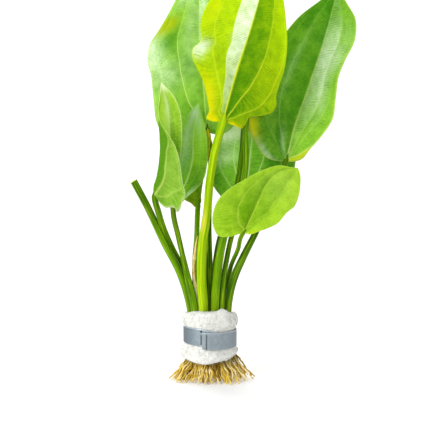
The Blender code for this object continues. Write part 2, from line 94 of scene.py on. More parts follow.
def through(knots, points, places):
    """The smooth curve that passes each point at its knot, read at the places."""
    knots = np.array(knots, float)
    points = np.array(points, float)
    slopes = np.gradient(points, knots, axis=0)
    left = np.clip(np.searchsorted(knots, places, side="right") - 1, 0, len(knots) - 2)
    width = (knots[left + 1] - knots[left])[:, None]
    s = (places - knots[left])[:, None] / width
    return (
        (2 * s**3 - 3 * s**2 + 1) * points[left]
        + (s**3 - 2 * s**2 + s) * width * slopes[left]
        + (3 * s**2 - 2 * s**3) * points[left + 1]
        + (s**3 - s**2) * width * slopes[left + 1]
    )


def chord_knots(points):
    """How far along a line each of its points lies."""
    steps = np.linalg.norm(np.diff(np.array(points, float), axis=0), axis=1)
    return np.concatenate([[0], np.cumsum(steps)])


def smooth_line(points, count):
    """Evenly spread points of the smooth curve through the given ones."""
    knots = chord_knots(points)
    return through(knots, points, np.linspace(0, knots[-1], count))


def headings(line):
    """The unit heading at each point of a line."""
    heading = np.gradient(line, axis=0)
    return heading / np.linalg.norm(heading, axis=1)[:, None]


def ring_turns(sides):
    """The turn of each point round a ring, in radians."""
    return 2 * np.pi * np.arange(sides) / sides


def tube(line, radii, sides):
    """Rings of points round a line; the ring's frame is carried along the line without twisting."""
    line = np.array(line, float)
    heading = headings(line)
    turn = ring_turns(sides)
    first = np.array((0.3, 1.0, 0.2))
    rings = []
    for i, middle in enumerate(line):
        first = first - heading[i] * np.dot(first, heading[i])
        first /= np.linalg.norm(first)
        second = np.cross(heading[i], first)
        reach = np.broadcast_to(radii[i], (sides,))[:, None]
        rings.append(middle + reach * (np.cos(turn)[:, None] * first + np.sin(turn)[:, None] * second))
    return np.array(rings)


def tube_faces(count, sides):
    """Faces of a tube of that many rings, with its two ends closed."""
    faces = [tuple(reversed(range(sides))), tuple((count - 1) * sides + k for k in range(sides))]
    for i in range(count - 1):
        for k in range(sides):
            n = (k + 1) % sides
            faces.append((i * sides + k, i * sides + n, (i + 1) * sides + n, (i + 1) * sides + k))
    return faces


def tube_grain(radius, sides, along, shift):
    """Where each point of a tube lies in its grain: round the tube, and drawn out along it."""
    turn = ring_turns(sides)
    spots = (radius * np.cos(turn)[None, :] + shift, radius * np.sin(turn)[None, :], along[:, None])
    return np.stack(np.broadcast_arrays(*spots), axis=-1).reshape(-1, 3)


def joined(parts):
    """Several parts as one: each is its points, its faces and its values at each point."""
    points, faces = [], []
    values = {label: [] for label in parts[0][2]}
    start = 0
    for part_points, part_faces, part_values in parts:
        points.append(part_points)
        faces += [tuple(start + k for k in face) for face in part_faces]
        for label in values:
            values[label].append(part_values[label])
        start += len(part_points)
    return np.concatenate(points), faces, {label: np.concatenate(v) for label, v in values.items()}


def piece(name, points, faces, values, materials, slots=None):
    """An object with those points, in millimetres, and a named value or direction at each of them."""
    mesh = bpy.data.meshes.new(name)
    mesh.from_pydata((points * MM).tolist(), [], faces)
    for label, numbers in values.items():
        numbers = np.asarray(numbers, np.float32)
        kind, field = ("FLOAT", "value") if numbers.ndim == 1 else ("FLOAT_VECTOR", "vector")
        mesh.attributes.new(label, kind, "POINT").data.foreach_set(field, numbers.ravel())
    for material in materials:
        mesh.materials.append(material)
    if slots is not None:
        mesh.polygons.foreach_set("material_index", slots)
    mesh.shade_smooth()
    made = bpy.data.objects.new(name, mesh)
    bpy.context.scene.collection.objects.link(made)
    return made


def material_named(name):
    """A new material, its nodes and the shader of its surface."""
    made = bpy.data.materials.new(name)
    made.use_nodes = True
    return made, made.node_tree, made.node_tree.nodes["Principled BSDF"]


def give(tree, node, inputs):
    """Sets a node's inputs, each to a value or to the output that it comes from."""
    for label, value in inputs.items():
        if isinstance(value, bpy.types.NodeSocket):
            tree.links.new(value, node.inputs[label])
        else:
            node.inputs[label].default_value = value


def add(tree, kind, settings, inputs):
    """A new node with its settings and its inputs."""
    made = tree.nodes.new(kind)
    for label, value in settings.items():
        setattr(made, label, value)
    give(tree, made, inputs)
    return made


def blended(tree, factor, first, second):
    """The colour that goes from the first to the second as the factor goes from 0 to 1."""
    inputs = {"Factor": factor, 6: first, 7: second}
    return add(tree, "ShaderNodeMix", {"data_type": "RGBA"}, inputs).outputs[2]


def fitted(tree, value, low, high, start=0.0, end=1.0):
    """The value taken from the range low to high onto the range start to end, and held inside it."""
    inputs = {"Value": value, "From Min": low, "From Max": high, "To Min": start, "To Max": end}
    return add(tree, "ShaderNodeMapRange", {}, inputs).outputs["Result"]


def sum_of(tree, first, second, times=1.0):
    """The first value and the second one times a number."""
    inputs = {0: second, 1: times, 2: first}
    return add(tree, "ShaderNodeMath", {"operation": "MULTIPLY_ADD"}, inputs).outputs["Value"]


def attribute(tree, label, kind="Fac"):
    """What the piece holds under that name at each point."""
    return add(tree, "ShaderNodeAttribute", {"attribute_name": label}, {}).outputs[kind]


def grained(tree, place, scale, detail):
    """Soft noise over the place, with that many lumps to its unit."""
    inputs = {"Vector": place, "Scale": scale, "Detail": detail}
    return add(tree, "ShaderNodeTexNoise", {}, inputs).outputs["Fac"]


def from_walls(tree, place, scale):
    """The distance from the walls between cells, with that many cells to the place's unit."""
    settings = {"feature": "DISTANCE_TO_EDGE"}
    inputs = {"Vector": place, "Scale": scale}
    return add(tree, "ShaderNodeTexVoronoi", settings, inputs).outputs["Distance"]


def stretched(tree, place, shares):
    """The place with each of its axes scaled by its share: a pattern on it is drawn out by as much."""
    return add(tree, "ShaderNodeMapping", {}, {"Vector": place, "Scale": shares}).outputs["Vector"]


def relief(tree, height, strength, depth):
    """A normal bent by fine relief that is that many millimetres deep."""
    inputs = {"Height": height, "Strength": strength, "Distance": depth * MM}
    return add(tree, "ShaderNodeBump", {}, inputs).outputs["Normal"]


def kinked(line, chance, size, still=6.0):
    """The line with sideways kinks of about that size, which set in over its first few millimetres."""
    line = np.array(line, float)
    far = chord_knots(line)
    for axis, share in ((0, 1.0), (1, 1.0), (2, 0.45)):
        for wave in (14.0, 7.0, 3.6):
            swing = size * share * (wave / 14) ** 1.1 * chance.uniform(0.4, 1.0)
            sway = swing * np.sin(2 * np.pi * far / wave + chance.uniform(*ANY_PHASE))
            line[:, axis] += sway * np.minimum(1, far / still)
    return line


def root_lines():
    """The main roots, each as its line, its radius and its tone, from 0 for dark to 1 for cream."""
    chance = random.Random(ROOT_SEED)
    tones = random.Random(ROOT_SEED + 1)
    golden_turn = math.pi * (3 - math.sqrt(5))
    lines = [([(0, 0, ROOT_START), (0, 0, ROOT_BEND), (0, 0, BELOW_SURFACE)], MIDDLE_ROOT_RADIUS, 0.4)]
    for i in range(1, ROOT_COUNT):
        out = math.sqrt((i + 0.5) / ROOT_COUNT)
        turn = i * golden_turn + chance.uniform(-0.2, 0.2)
        end_turn = turn + chance.uniform(-0.25, 0.25)
        heading = Vector((math.cos(turn), math.sin(turn)))
        start = heading * ROOT_SPREAD * out
        reach = out * chance.uniform(0.82, 1.0)
        end = Vector((ROOT_REACH[0] * math.cos(end_turn), ROOT_REACH[1] * math.sin(end_turn))) * reach
        end.x += ROOT_SHIFT * out
        bend = start * 0.35 + end * 0.65
        bend_height = ROOT_BEND + chance.uniform(-0.8, 1.2) + ROOT_ARCH * max(0, heading.x) * out * out
        end_height = BELOW_SURFACE if out < OUTER_ROOT else chance.uniform(BELOW_SURFACE, HIGHEST_END)
        line = [
            (*start, ROOT_START),
            (*(start + heading * 0.6), ROOT_NECK + ROOT_NECK_TILT * heading.x),
            (*bend, bend_height),
            (*end, end_height),
        ]
        lines.append((line, chance.uniform(*ROOT_RADIUS), tones.random()))
    return lines


def fill_lines():
    """Thinner roots between the main ones, ending anywhere inside their spread."""
    chance = random.Random(FILL_SEED)
    lines = []
    for i in range(FILL_ROOTS):
        turn = 2 * math.pi * (i + chance.random()) / FILL_ROOTS
        out = chance.uniform(0.55, 1.0)
        heading = Vector((math.cos(turn), math.sin(turn)))
        start = heading * ROOT_SPREAD * out
        end_turn = turn + chance.uniform(-0.5, 0.5)
        reach = out * chance.uniform(0.6, 0.93)
        end = Vector((ROOT_REACH[0] * math.cos(end_turn), ROOT_REACH[1] * math.sin(end_turn))) * reach
        bend = start * 0.5 + end * 0.5
        bend_height = ROOT_BEND + chance.uniform(-1.5, 3.0) + ROOT_ARCH * max(0, heading.x) * out
        line = [
            (*start, ROOT_START),
            (*(start + heading * 0.8), ROOT_NECK + ROOT_NECK_TILT * heading.x),
            (*bend, bend_height),
            (*end, chance.uniform(BELOW_SURFACE, HIGHEST_END)),
        ]
        lines.append((line, chance.uniform(*FILL_RADIUS), chance.random()))
    return lines


def fan_lines():
    """Roots that arch out from under the wool to both sides and the front, furthest on the right."""
    chance = random.Random(FAN_SEED)
    narrow = ROOT_REACH[1] / ROOT_REACH[0]
    lines = []
    for count, first, last, near, far, shoulder in SIDE_FANS:
        for i in range(count):
            turn = math.radians(first + (last - first) * (i + chance.random()) / count)
            heading = Vector((math.cos(turn), math.sin(turn) * narrow))
            reach = chance.uniform(near, far)
            height = shoulder * chance.uniform(0.65, 1.0)
            line = [
                (*(heading * 12.0), ROOT_START),
                (*(heading * 15.5), height + 3.5),
                (*(heading * (0.45 * 15.5 + 0.55 * reach)), height * 0.62),
                (*(heading * reach), chance.uniform(BELOW_SURFACE, 2.0)),
            ]
            lines.append((line, chance.uniform(*FAN_RADIUS), chance.uniform(0.35, 1.0)))
    return lines


def above_surface(line):
    """The line cut off where it comes down to the surface."""
    under = np.nonzero(line[:, 2] < CUT_LEVEL)[0]
    if not len(under):
        return line
    last = max(2, under[0])
    ended = line[:last + 1].copy()
    ended[last, 2] = max(CUT_LEVEL, ended[last, 2])
    return ended


def strand(line, radius, end_share, sides, tone, chance):
    """A root or rootlet as a part: knotty, tapering, with painted shade towards where it comes out of the
    crown.
    """
    count = len(line)
    along = np.linspace(0, 1, count)
    far = chord_knots(line)
    knots = 1 + 0.10 * np.sin(far * 1.7 + chance.uniform(*ANY_PHASE))
    knots += 0.07 * np.sin(far * 3.9 + chance.uniform(*ANY_PHASE))
    radii = radius * (1 - (1 - end_share) * along) * knots
    flat = 1 + 0.14 * np.cos(2 * ring_turns(sides) + chance.uniform(*ANY_PHASE))
    rings = tube(line, radii[:, None] * flat[None, :], sides)
    rings[..., 2] = np.maximum(rings[..., 2], LOWEST_SKIN)
    values = {
        "tone": np.full(count * sides, tone),
        "grain": tube_grain(radius, sides, ROOT_GRAIN * far, chance.uniform(0, 90)),
        "cut": np.repeat(np.where(np.arange(count) == count - 1, 1.0, 0.0), sides),
        # Painted shade: a root is darkened higher up, towards the crown and the middle of the mass.
        "depth": np.repeat(np.clip((line[:, 2] - 4) / 14, 0, 1), sides),
    }
    return rings.reshape(-1, 3), tube_faces(count, sides), values


def root_parts():
    """All the roots as parts, and the rootlets that branch off them anywhere."""
    chance = random.Random(ROOTLET_SEED)
    parts, lines = [], []
    for number, (line, radius, tone) in enumerate(root_lines() + fill_lines() + fan_lines()):
        swing = 0.25 if number == 0 else 0.7
        run = above_surface(kinked(smooth_line(line, ROOT_STEPS), chance, swing))
        parts.append(strand(run, radius, 0.72, ROOT_SIDES, tone, chance))
        lines.append(run)
    for _ in range(ROOTLETS):
        run = lines[chance.randrange(len(lines))]
        at = chance.randrange(len(run) // 3, len(run) - 2)
        turn = math.atan2(run[at][1], run[at][0]) + chance.uniform(-1.3, 1.3)
        length = chance.uniform(2.0, 6.0)
        reach = min(1.0, 21.0 / max(1.0, math.hypot(run[at][0], run[at][1]) + length))
        side = Vector((math.cos(turn), math.sin(turn), 0)) * length * reach
        end = Vector(run[at]) + side + Vector((0, 0, -length * chance.uniform(0.2, 0.9)))
        middle = Vector(run[at]) + side * 0.55 + Vector((0, 0, length * chance.uniform(-0.25, 0.05)))
        end.z = max(end.z, 0.2)
        middle.z = max(middle.z, 0.3)
        small = kinked(smooth_line([tuple(run[at]), tuple(middle), tuple(end)], 9), chance, 0.25, 2.0)
        radius = ROOTLET_RADIUS * chance.uniform(0.7, 1.5)
        tone = chance.uniform(0.5, 1)
        parts.append(strand(small, radius, 0.5, ROOTLET_SIDES, tone, chance))
    return parts


def crown_part():
    """A lumpy turned body, closed at both ends, that the roots come out of."""
    sides = 48
    outline = [
        (0.4, CROWN_BOTTOM), (11, CROWN_BOTTOM), (13.6, 21.5), (CROWN_RADIUS, 26),
        (CROWN_RADIUS, 31), (13.2, 33.4), (10, CROWN_TOP), (0.4, CROWN_TOP - 0.3),
    ]
    profile = smooth_line(outline, 30)
    turn = ring_turns(sides)
    rings = []
    for radius, height in profile:
        spots = [Vector((math.cos(a) * 3, math.sin(a) * 3, height * 0.25)) for a in turn]
        lumps = np.array([noise.noise(spot) for spot in spots])
        reach = radius * (1 + 0.07 * lumps * min(1, radius / 8))
        level = np.full(sides, height)
        rings.append(np.stack([reach * np.cos(turn), reach * np.sin(turn), level], axis=-1))
    points = np.array(rings).reshape(-1, 3)
    values = {
        "tone": np.full(len(points), 0.15),
        "grain": points * (0.6, 0.6, 0.2),
        "cut": np.zeros(len(points)),
        # The crown gets the roots' full painted shade.
        "depth": np.ones(len(points)),
    }
    return points, tube_faces(len(profile), sides), values


def corky_root():
    """Corky root fibre: rough and dull, gold to cream outside with dark creases, which gives the eye a
    dry, fibrous tangle."""
    made, tree, shader = material_named("corky_root")
    tone, cut, depth = (attribute(tree, label) for label in ("tone", "cut", "depth"))
    grain = attribute(tree, "grain", "Vector")
    # Blotches about 5 mm long, and creases 0.3 mm apart round the root.
    blotch = grained(tree, grain, 0.9, 3.0)
    crease = grained(tree, grain, 3.4, 4.0)
    step = sum_of(tree, tone, fitted(tree, blotch, 0.25, 0.75, -0.4, 0.4))
    brown = blended(tree, fitted(tree, step, -0.1, 0.3), colour("#6e4e08"), colour("#bc941c"))
    gold = blended(tree, fitted(tree, step, 0.25, 0.65), brown, colour("#dec04a"))
    cream = blended(tree, fitted(tree, step, 0.66, 0.98), gold, colour("#f6e6b4"))
    lined = blended(tree, fitted(tree, crease, 0.56, 0.72, 0.0, 0.6), cream, colour("#6b4406"))
    # Painted shade: darker higher up among the roots, towards the crown, where shade falls between them.
    shaded = blended(tree, fitted(tree, depth, 0.35, 1.0, 0.0, 0.8), lined, colour("#4a3004"))
    ended = blended(tree, fitted(tree, cut, 0.5, 1.0, 0.0, 0.5), shaded, colour("#f0dca4"))
    give(tree, shader, {
        "Base Color": ended, "Normal": relief(tree, crease, 0.6, 0.25),
        "Roughness": 0.55, "IOR": 1.45, "Specular IOR Level": 0.2,
    })
    return made


points, faces, values = joined([crown_part()] + root_parts())
roots = piece("crown_with_trimmed_roots", points, faces, values, [corky_root()])
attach(roots, "root")
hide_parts("crown_and_roots")

# Stalks
# Ten leaf stalks and one that was cut off: juicy green petioles with soft ribs, which grew from the
# crown. Each runs on into its blade's midrib. The cut one ends in its pale, spongy pith.
FOOT = 34.3
STALK_SIDES = 30
RING_SPACING = 1.1
INTO_BLADE = 6.0  # how far a stalk runs on along the midrib
STALK_GRAIN = 0.03  # how far the grain is drawn out along a stalk
BLADE_TIPS = {
    "stalk_front": (40.2, -27.0, 299.6), "stalk_right": (89.4, 30.0, 272.1),
    "stalk_left": (-7.3, 34.0, 292.8), "stalk_slim": (-7.5, 8.0, 192.3),
    "stalk_back": (34.0, 34.0, 212.2), "stalk_low": (59.6, -27.0, 150.8),
    "stalk_rolled": (-33.0, -3.0, 207.2), "stalk_narrow": (-1.1, 8.5, 174.7),
    "stalk_hidden_left": (16.1, 4.0, 247.7), "stalk_hidden_right": (38.4, -4.0, 239.8),
}
# Radius at the foot and under the blade, how bright it is (its own green with painted light and shade
# for where it stands), whether it shows in front of its blade, the line up to the joint, and marks on its
# skin: their height as a share, turn, reach, width and strength.
STALKS = {
    "stalk_front": {
        "radii": (3.2, 2.75), "tone": 0.46, "in_front": True,
        "line": [(-4.3, -9.3, FOOT), (-4.3, -9.5, 50), (-5.6, -9.5, 74), (-4.8, -9.5, 96.5),
                 (-1.7, -10, 118), (0.4, -11, 141), (3.9, -12, 161.5), (9.6, -14, 182.4)],
        "scars": [(0.50, 2.9, 0.05, 0.38, 0.85), (0.56, 0.25, 0.012, 0.4, 0.9)],
    },
    "stalk_right": {
        "radii": (2.7, 2.1), "tone": 0.22, "in_front": False,
        "line": [(12.4, -2.2, FOOT), (12.8, -2.2, 52.5), (16.9, -1.5, 71.5), (23.4, 0, 86),
                 (32.4, 3, 103.4), (43.2, 6, 127), (53.1, 10, 151.4)],
    },
    "stalk_left": {
        "radii": (2.7, 1.9), "tone": 0.25, "in_front": False,
        "line": [(-0.3, -2.2, FOOT), (-0.3, -2.2, 52.6), (-0.4, 0.5, 83.8), (-0.6, 3, 101), (0.4, 7, 140),
                 (0.8, 11.5, 158), (-1.4, 14, 172.2)],
    },
    "stalk_slim": {
        "radii": (2.6, 1.8), "tone": 0.34, "in_front": False,
        "line": [(-9.9, -7, FOOT), (-10.2, -7, 49.2), (-15.9, -6.5, 76.5), (-21.3, -5, 100.3),
                 (-24.9, -3, 117), (-25.1, -1.5, 124.9)],
        "scars": [(0.80, 4.2, 0.10, 0.8, 0.08)],
    },
    "stalk_back": {
        "radii": (1.9, 1.8), "tone": 0.5, "in_front": False,
        "line": [(8.4, -6.2, FOOT), (8.5, -6.1, 53.3), (10.1, -4, 74), (12.1, 0.5, 85.4), (15, 6, 98.3),
                 (23.4, 15, 119)],
    },
    "stalk_low": {
        "radii": (1.8, 1.5), "tone": 0.5, "in_front": False,
        "line": [(10.4, 4.2, FOOT), (11, 4.4, 51.4), (12.6, 4.2, 66.3), (14.5, 2.6, 77.8),
                 (19.4, -6.5, 91.8), (23.2, -17, 105.3)],
    },
    "stalk_rolled": {
        "radii": (2.4, 2.1), "tone": 0.28, "in_front": True,
        "line": [(-10.8, 4.4, FOOT), (-12, 4.4, 51.4), (-19.2, 2.3, 78), (-25.4, -0.5, 91),
                 (-31.1, -4, 104.7), (-35.0, -8.5, 118.3), (-37.4, -12, 130.3)],
    },
    "stalk_narrow": {
        "radii": (1.7, 1.75), "tone": 0.65, "in_front": True,
        "line": [(-6.2, 0.8, FOOT), (-6.8, 0.8, 52), (-10.3, 3, 77.7), (-8.9, 6, 99.8), (-7.8, 7, 122)],
    },
    "stalk_hidden_left": {
        "radii": (2.1, 1.8), "tone": 0.4, "in_front": False,
        "line": [(4.2, 3.2, FOOT), (3.8, 3.2, 51.7), (4.6, 4.5, 83.4), (7.4, 5.5, 98.7),
                 (12.8, 6.5, 114.6), (20, 7.5, 140.2), (23, 7.6, 165), (23.5, 7, 184.6)],
    },
    "stalk_hidden_right": {
        "radii": (2.9, 1.9), "tone": 0.55, "in_front": False,
        "line": [(3.7, -7.6, FOOT), (3.7, -7.6, 50), (5, -7, 71), (7, -6, 86.2), (9.8, -5, 99.3),
                 (17.6, -3, 119.2), (24.3, 0, 143), (25.8, 1, 183.7)],
    },
    "stalk_cut": {
        "radii": (2.6, 2.45), "tone": 0.38, "in_front": False,
        "line": [(-11.6, -1.2, FOOT), (-12.9, -1.5, 48.2), (-20.1, -3, 74.5), (-31.1, -4, 96.3),
                 (-43.4, -5, 123), (-52.1, -6, 139.6)],
    },
}
PITH_RINGS = 5


def stalk_line(name):
    """The stalk's line, and for a stalk with a leaf its way on into the midrib."""
    stalk = STALKS[name]
    line = list(stalk["line"])
    if name in BLADE_TIPS:
        joint = Vector(line[-1])
        along = (Vector(BLADE_TIPS[name]) - joint).normalized()
        towards = Vector((0, -1, 0))
        towards = (towards - along * towards.dot(along)).normalized()
        side = 1 if stalk["in_front"] else -1
        line[-1] = tuple(joint + towards * side * 0.45)
        line.append(tuple(joint + along * INTO_BLADE * 0.5 + towards * side * 0.40))
        line.append(tuple(joint + along * INTO_BLADE + towards * side * 0.25))
    return line


def stalk_part(name, number):
    """A stalk as a part: ribbed, slimmer towards its blade, and running out inside the midrib."""
    stalk = STALKS[name]
    line = stalk_line(name)
    length = chord_knots(line)[-1]
    count = int(length / RING_SPACING) + 2
    run = smooth_line(line, count)
    t = np.linspace(0, 1, count)
    foot, top = stalk["radii"]
    radii = np.interp(t, [0, 0.05, 0.3, 0.55, 1], [foot * 1.06, foot, foot, top, top])
    ending = np.maximum(0, 1 - (1 - t) * length / (INTO_BLADE * 1.1))
    if name in BLADE_TIPS:
        radii = radii * (1 - 0.9 * ending**0.9)
    turn = ring_turns(STALK_SIDES)
    ribs = 1 + 0.045 * np.cos(5 * turn[None, :] + 2.2 * t[:, None] + number)
    ribs += 0.025 * np.cos(9 * turn[None, :] - 1.4 * t[:, None] + 2 * number)
    rings = tube(run, radii[:, None] * ribs, STALK_SIDES)
    scar = np.zeros((count, STALK_SIDES))
    for place, around, reach, width, strength in stalk.get("scars", []):
        apart = np.abs((turn - around + np.pi) % (2 * np.pi) - np.pi)
        scar += strength * np.exp(-(((t[:, None] - place) / reach) ** 2) - ((apart / width) ** 2)[None, :])
    values = {
        "tone": np.full(count * STALK_SIDES, stalk["tone"]),
        "height": np.repeat(t, STALK_SIDES),
        "scar": np.clip(scar, 0, 1).ravel(),
        "grain": tube_grain(top, STALK_SIDES, STALK_GRAIN * t * length, 13.0 * number),
        "pith": np.zeros(count * STALK_SIDES),
    }
    return rings.reshape(-1, 3), tube_faces(count, STALK_SIDES), values


def cut_end_part(number):
    """The cut end's face: a slightly hollow disc of pith inside the stalk's skin."""
    line = smooth_line(stalk_line("stalk_cut"), 60)
    heading = line[-1] - line[-2]
    heading /= np.linalg.norm(heading)
    radius = STALKS["stalk_cut"]["radii"][1]
    rings = tube([line[-1] - heading * 0.3, line[-1] + heading * 0.02], [radius, radius], STALK_SIDES)[-1]
    points = []
    for i in range(PITH_RINGS):
        share = 0.985 - 0.93 * i / (PITH_RINGS - 1)
        for spot in rings:
            place = line[-1] + (spot - line[-1]) * share
            rough = noise.noise(Vector(place) * 1.9) * 0.22 * min(1, i)
            points.append(place + heading * (0.12 - 0.3 * (1 - share) + rough))
    base = [place - heading * 0.25 for place in points[:STALK_SIDES]]
    points = np.array(base + points)
    values = {
        "tone": np.full(len(points), 0.9),
        "height": np.ones(len(points)),
        "scar": np.zeros(len(points)),
        "grain": points + number,
        "pith": np.ones(len(points)),
    }
    return points, tube_faces(PITH_RINGS + 1, STALK_SIDES), values


def juicy_stalk(name, dark, fresh, yellow):
    """Living stalk under a thin waxy skin: satin, with long pale streaks between its ribs, which gives
    the eye a juicy, slightly see-through rod."""
    made, tree, shader = material_named(name)
    tone, height, scar, pith = (attribute(tree, label) for label in ("tone", "height", "scar", "pith"))
    grain = attribute(tree, "grain", "Vector")
    # Streaks about 1.7 mm wide and 55 mm long, and finer ones a third of that.
    broad = grained(tree, grain, 0.6, 2.0)
    fine = grained(tree, grain, 2.0, 3.0)
    # A stalk's tone is partly its own green and partly painted light and shade.
    shade = sum_of(tree, tone, fitted(tree, broad, 0.32, 0.68, -0.5, 0.5))
    green = blended(tree, fitted(tree, shade, -0.1, 0.95), colour(dark), colour(fresh))
    lined = blended(tree, fitted(tree, fine, 0.54, 0.74, 0.0, 0.85), green, colour(yellow))
    pale_foot = blended(tree, fitted(tree, height, 0.0, 0.22, 0.4, 0.0), lined, colour(yellow))
    scarred = blended(tree, scar, pale_foot, colour("#dcc24c"))
    # The pith is a sponge of cells half a millimetre wide.
    wall = fitted(tree, from_walls(tree, grain, 2.2), 0.0, 0.14)
    inside = blended(tree, wall, colour("#f8fac0"), colour("#d6e84e"))
    give(tree, shader, {
        "Base Color": blended(tree, pith, scarred, inside), "Normal": relief(tree, fine, 0.35, 0.2),
        "Roughness": 0.36, "IOR": 1.40, "Specular IOR Level": 0.08,
    })
    return made


young_stalk = juicy_stalk("young_petiole", "#5f9400", "#a8c804", "#d0e01e")
grown_stalk = juicy_stalk("grown_petiole", "#264f00", "#6a9a02", "#a4c01a")
for number, name in enumerate(STALKS):
    part = stalk_part(name, number)
    if name == "stalk_cut":
        part = joined([part, cut_end_part(number)])
    skin = young_stalk if name == "stalk_front" else grown_stalk
    petiole = piece(name.replace("stalk", "petiole"), *part, [skin])
    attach(petiole, "root")
    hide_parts(name)

# Dried sheath
# The sheath of an older leaf that died back: a thin papery strip, gold and brown, curled lengthwise and
# still held at its foot between the front stalks.
SHEATH_LINE = [(-8.0, -3.8, FOOT), (-8.4, -5.0, 52.9), (-9.6, -5.4, 62), (-10.9, -4.8, 72.5),
               (-10.9, -3.6, 80), (-9.9, -1.9, 89.7), (-8.4, 0.3, 100.9)]
SHEATH_WIDTHS = ([0, 0.3, 0.55, 0.75, 0.92, 1], [1.5, 1.7, 1.5, 1.2, 0.7, 0.15])  # half widths along it
SHEATH_ROWS = 110
SHEATH_COLUMNS = 15
SHEATH_THICKNESS = 0.16


def surface_normals(grid):
    """Unit normals of a grid of points, from its neighbours along and across."""
    down = np.gradient(grid, axis=0)
    over = np.gradient(grid, axis=1)
    normals = np.cross(over, down)
    size = np.linalg.norm(normals, axis=-1, keepdims=True)
    normals = normals / np.maximum(size, 1e-9)
    normals[0] = normals[2]
    normals[1] = normals[2]
    normals[-1] = normals[-3]
    normals[-2] = normals[-3]
    return normals


def quads(*corners):
    """Faces from four arrays of point numbers, one for each of their corners."""
    return list(zip(*(corner.ravel().tolist() for corner in corners)))


def side_walls(near, far):
    """The faces that close a sheet along its first and its last column."""
    faces = []
    for i in range(len(near) - 1):
        faces.append((near[i, 0], near[i + 1, 0], far[i + 1, 0], far[i, 0]))
        faces.append((near[i + 1, -1], near[i, -1], far[i, -1], far[i + 1, -1]))
    return faces


def shell(front, back, values):
    """A thin closed sheet between two grids whose first and last rows are each one point. Faces on the
    front get material slot 0 and those on the back get 1."""
    rows, columns = front.shape[:2]
    inner = (rows - 2) * columns
    between = [side[1:-1].reshape(-1, 3) for side in (front, back)]
    points = np.concatenate([front[:1, 0], *between, front[-1:, 0]])
    last = 2 * inner + 1
    near = 1 + np.arange(inner).reshape(rows - 2, columns)
    far = near + inner
    faces, slots = [], []
    for j in range(columns - 1):
        faces.append((0, near[0, j + 1], near[0, j]))
        faces.append((last, near[-1, j], near[-1, j + 1]))
        faces.append((0, far[0, j], far[0, j + 1]))
        faces.append((last, far[-1, j + 1], far[-1, j]))
        slots += [0, 0, 1, 1]
    faces += quads(near[:-1, :-1], near[:-1, 1:], near[1:, 1:], near[1:, :-1])
    slots += [0] * (len(faces) - len(slots))
    faces += quads(far[1:, :-1], far[1:, 1:], far[:-1, 1:], far[:-1, :-1])
    slots += [1] * (len(faces) - len(slots))
    faces += side_walls(near, far)
    faces.append((0, near[0, 0], far[0, 0]))
    faces.append((0, far[0, -1], near[0, -1]))
    faces.append((last, far[-1, 0], near[-1, 0]))
    faces.append((last, near[-1, -1], far[-1, -1]))
    slots += [0] * (len(faces) - len(slots))
    spread_values = {
        label: np.concatenate([v[:1, 0], v[1:-1].ravel(), v[1:-1].ravel(), v[-1:, 0]])
        for label, v in values.items()
    }
    faces = [tuple(int(k) for k in face) for face in faces]
    return points, faces, spread_values, slots


def papery_sheath():
    """Dead leaf sheath: dry cellulose, dull and crisp, gold with brown spots and a paler foot, which
    gives the eye thin paper."""
    made, tree, shader = material_named("papery_sheath")
    place = add(tree, "ShaderNodeTexCoord", {}, {}).outputs["Object"]
    along = attribute(tree, "along")
    # Stretched fibres half a millimetre apart, and stains of about three millimetres.
    fibre = grained(tree, stretched(tree, place, (1.0, 1.0, 0.12)), 1900.0, 3.0)
    stain = grained(tree, place, 330.0, 2.0)
    gold = blended(tree, fitted(tree, fibre, 0.35, 0.65), colour("#d2a03a"), colour("#f4dc98"))
    foot = blended(tree, fitted(tree, along, 0.3, 0.6, 0.85, 0.0), gold, colour("#fbf4d0"))
    spotted = blended(tree, fitted(tree, stain, 0.58, 0.68, 0.0, 0.8), foot, colour("#84560e"))
    give(tree, shader, {
        "Base Color": spotted, "Normal": relief(tree, fibre, 0.5, 0.2), "Roughness": 0.6, "IOR": 1.5,
    })
    return made


def sheath_grid():
    """The sheath's middle surface, turning and curled lengthwise, and how far up it each point is."""
    run = smooth_line(SHEATH_LINE, SHEATH_ROWS)
    heading = headings(run)
    t = np.linspace(0, 1, SHEATH_ROWS)
    half = np.interp(t, *SHEATH_WIDTHS) * (1 + 0.12 * np.sin(17 * t) + 0.08 * np.sin(41 * t + 1))
    half[[0, -1]] = 0
    aim = np.stack([np.cos(0.5 + 1.6 * t), np.sin(0.5 + 1.6 * t), np.zeros_like(t)], axis=-1)
    across = np.cross(aim, heading)
    across /= np.linalg.norm(across, axis=1)[:, None]
    out = np.cross(across, heading)
    v = np.linspace(-1, 1, SHEATH_COLUMNS)
    bend = 1.25 * v
    curl = half[:, None] * np.sin(bend)[None, :] / 1.1
    rise = half[:, None] * (np.cos(bend) - 0.6)[None, :]
    crinkles = 0.10 * np.sin(31 * t[:, None] + 4 * v[None, :])
    rise += crinkles + 0.08 * np.sin(63 * t[:, None] - 5 * v[None, :])
    rise[[0, -1]] = 0
    grid = run[:, None] + across[:, None] * curl[..., None] + out[:, None] * rise[..., None]
    return grid, np.broadcast_to(t[:, None], grid.shape[:2])


grid, along = sheath_grid()
normals = surface_normals(grid)
points, faces, values, slots = shell(
    grid + normals * SHEATH_THICKNESS / 2, grid - normals * SHEATH_THICKNESS / 2, {"along": along})
sheath = piece("papery_sheath", points, faces, values, [papery_sheath()])
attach(sheath, "root")
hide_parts("dry_sheath")
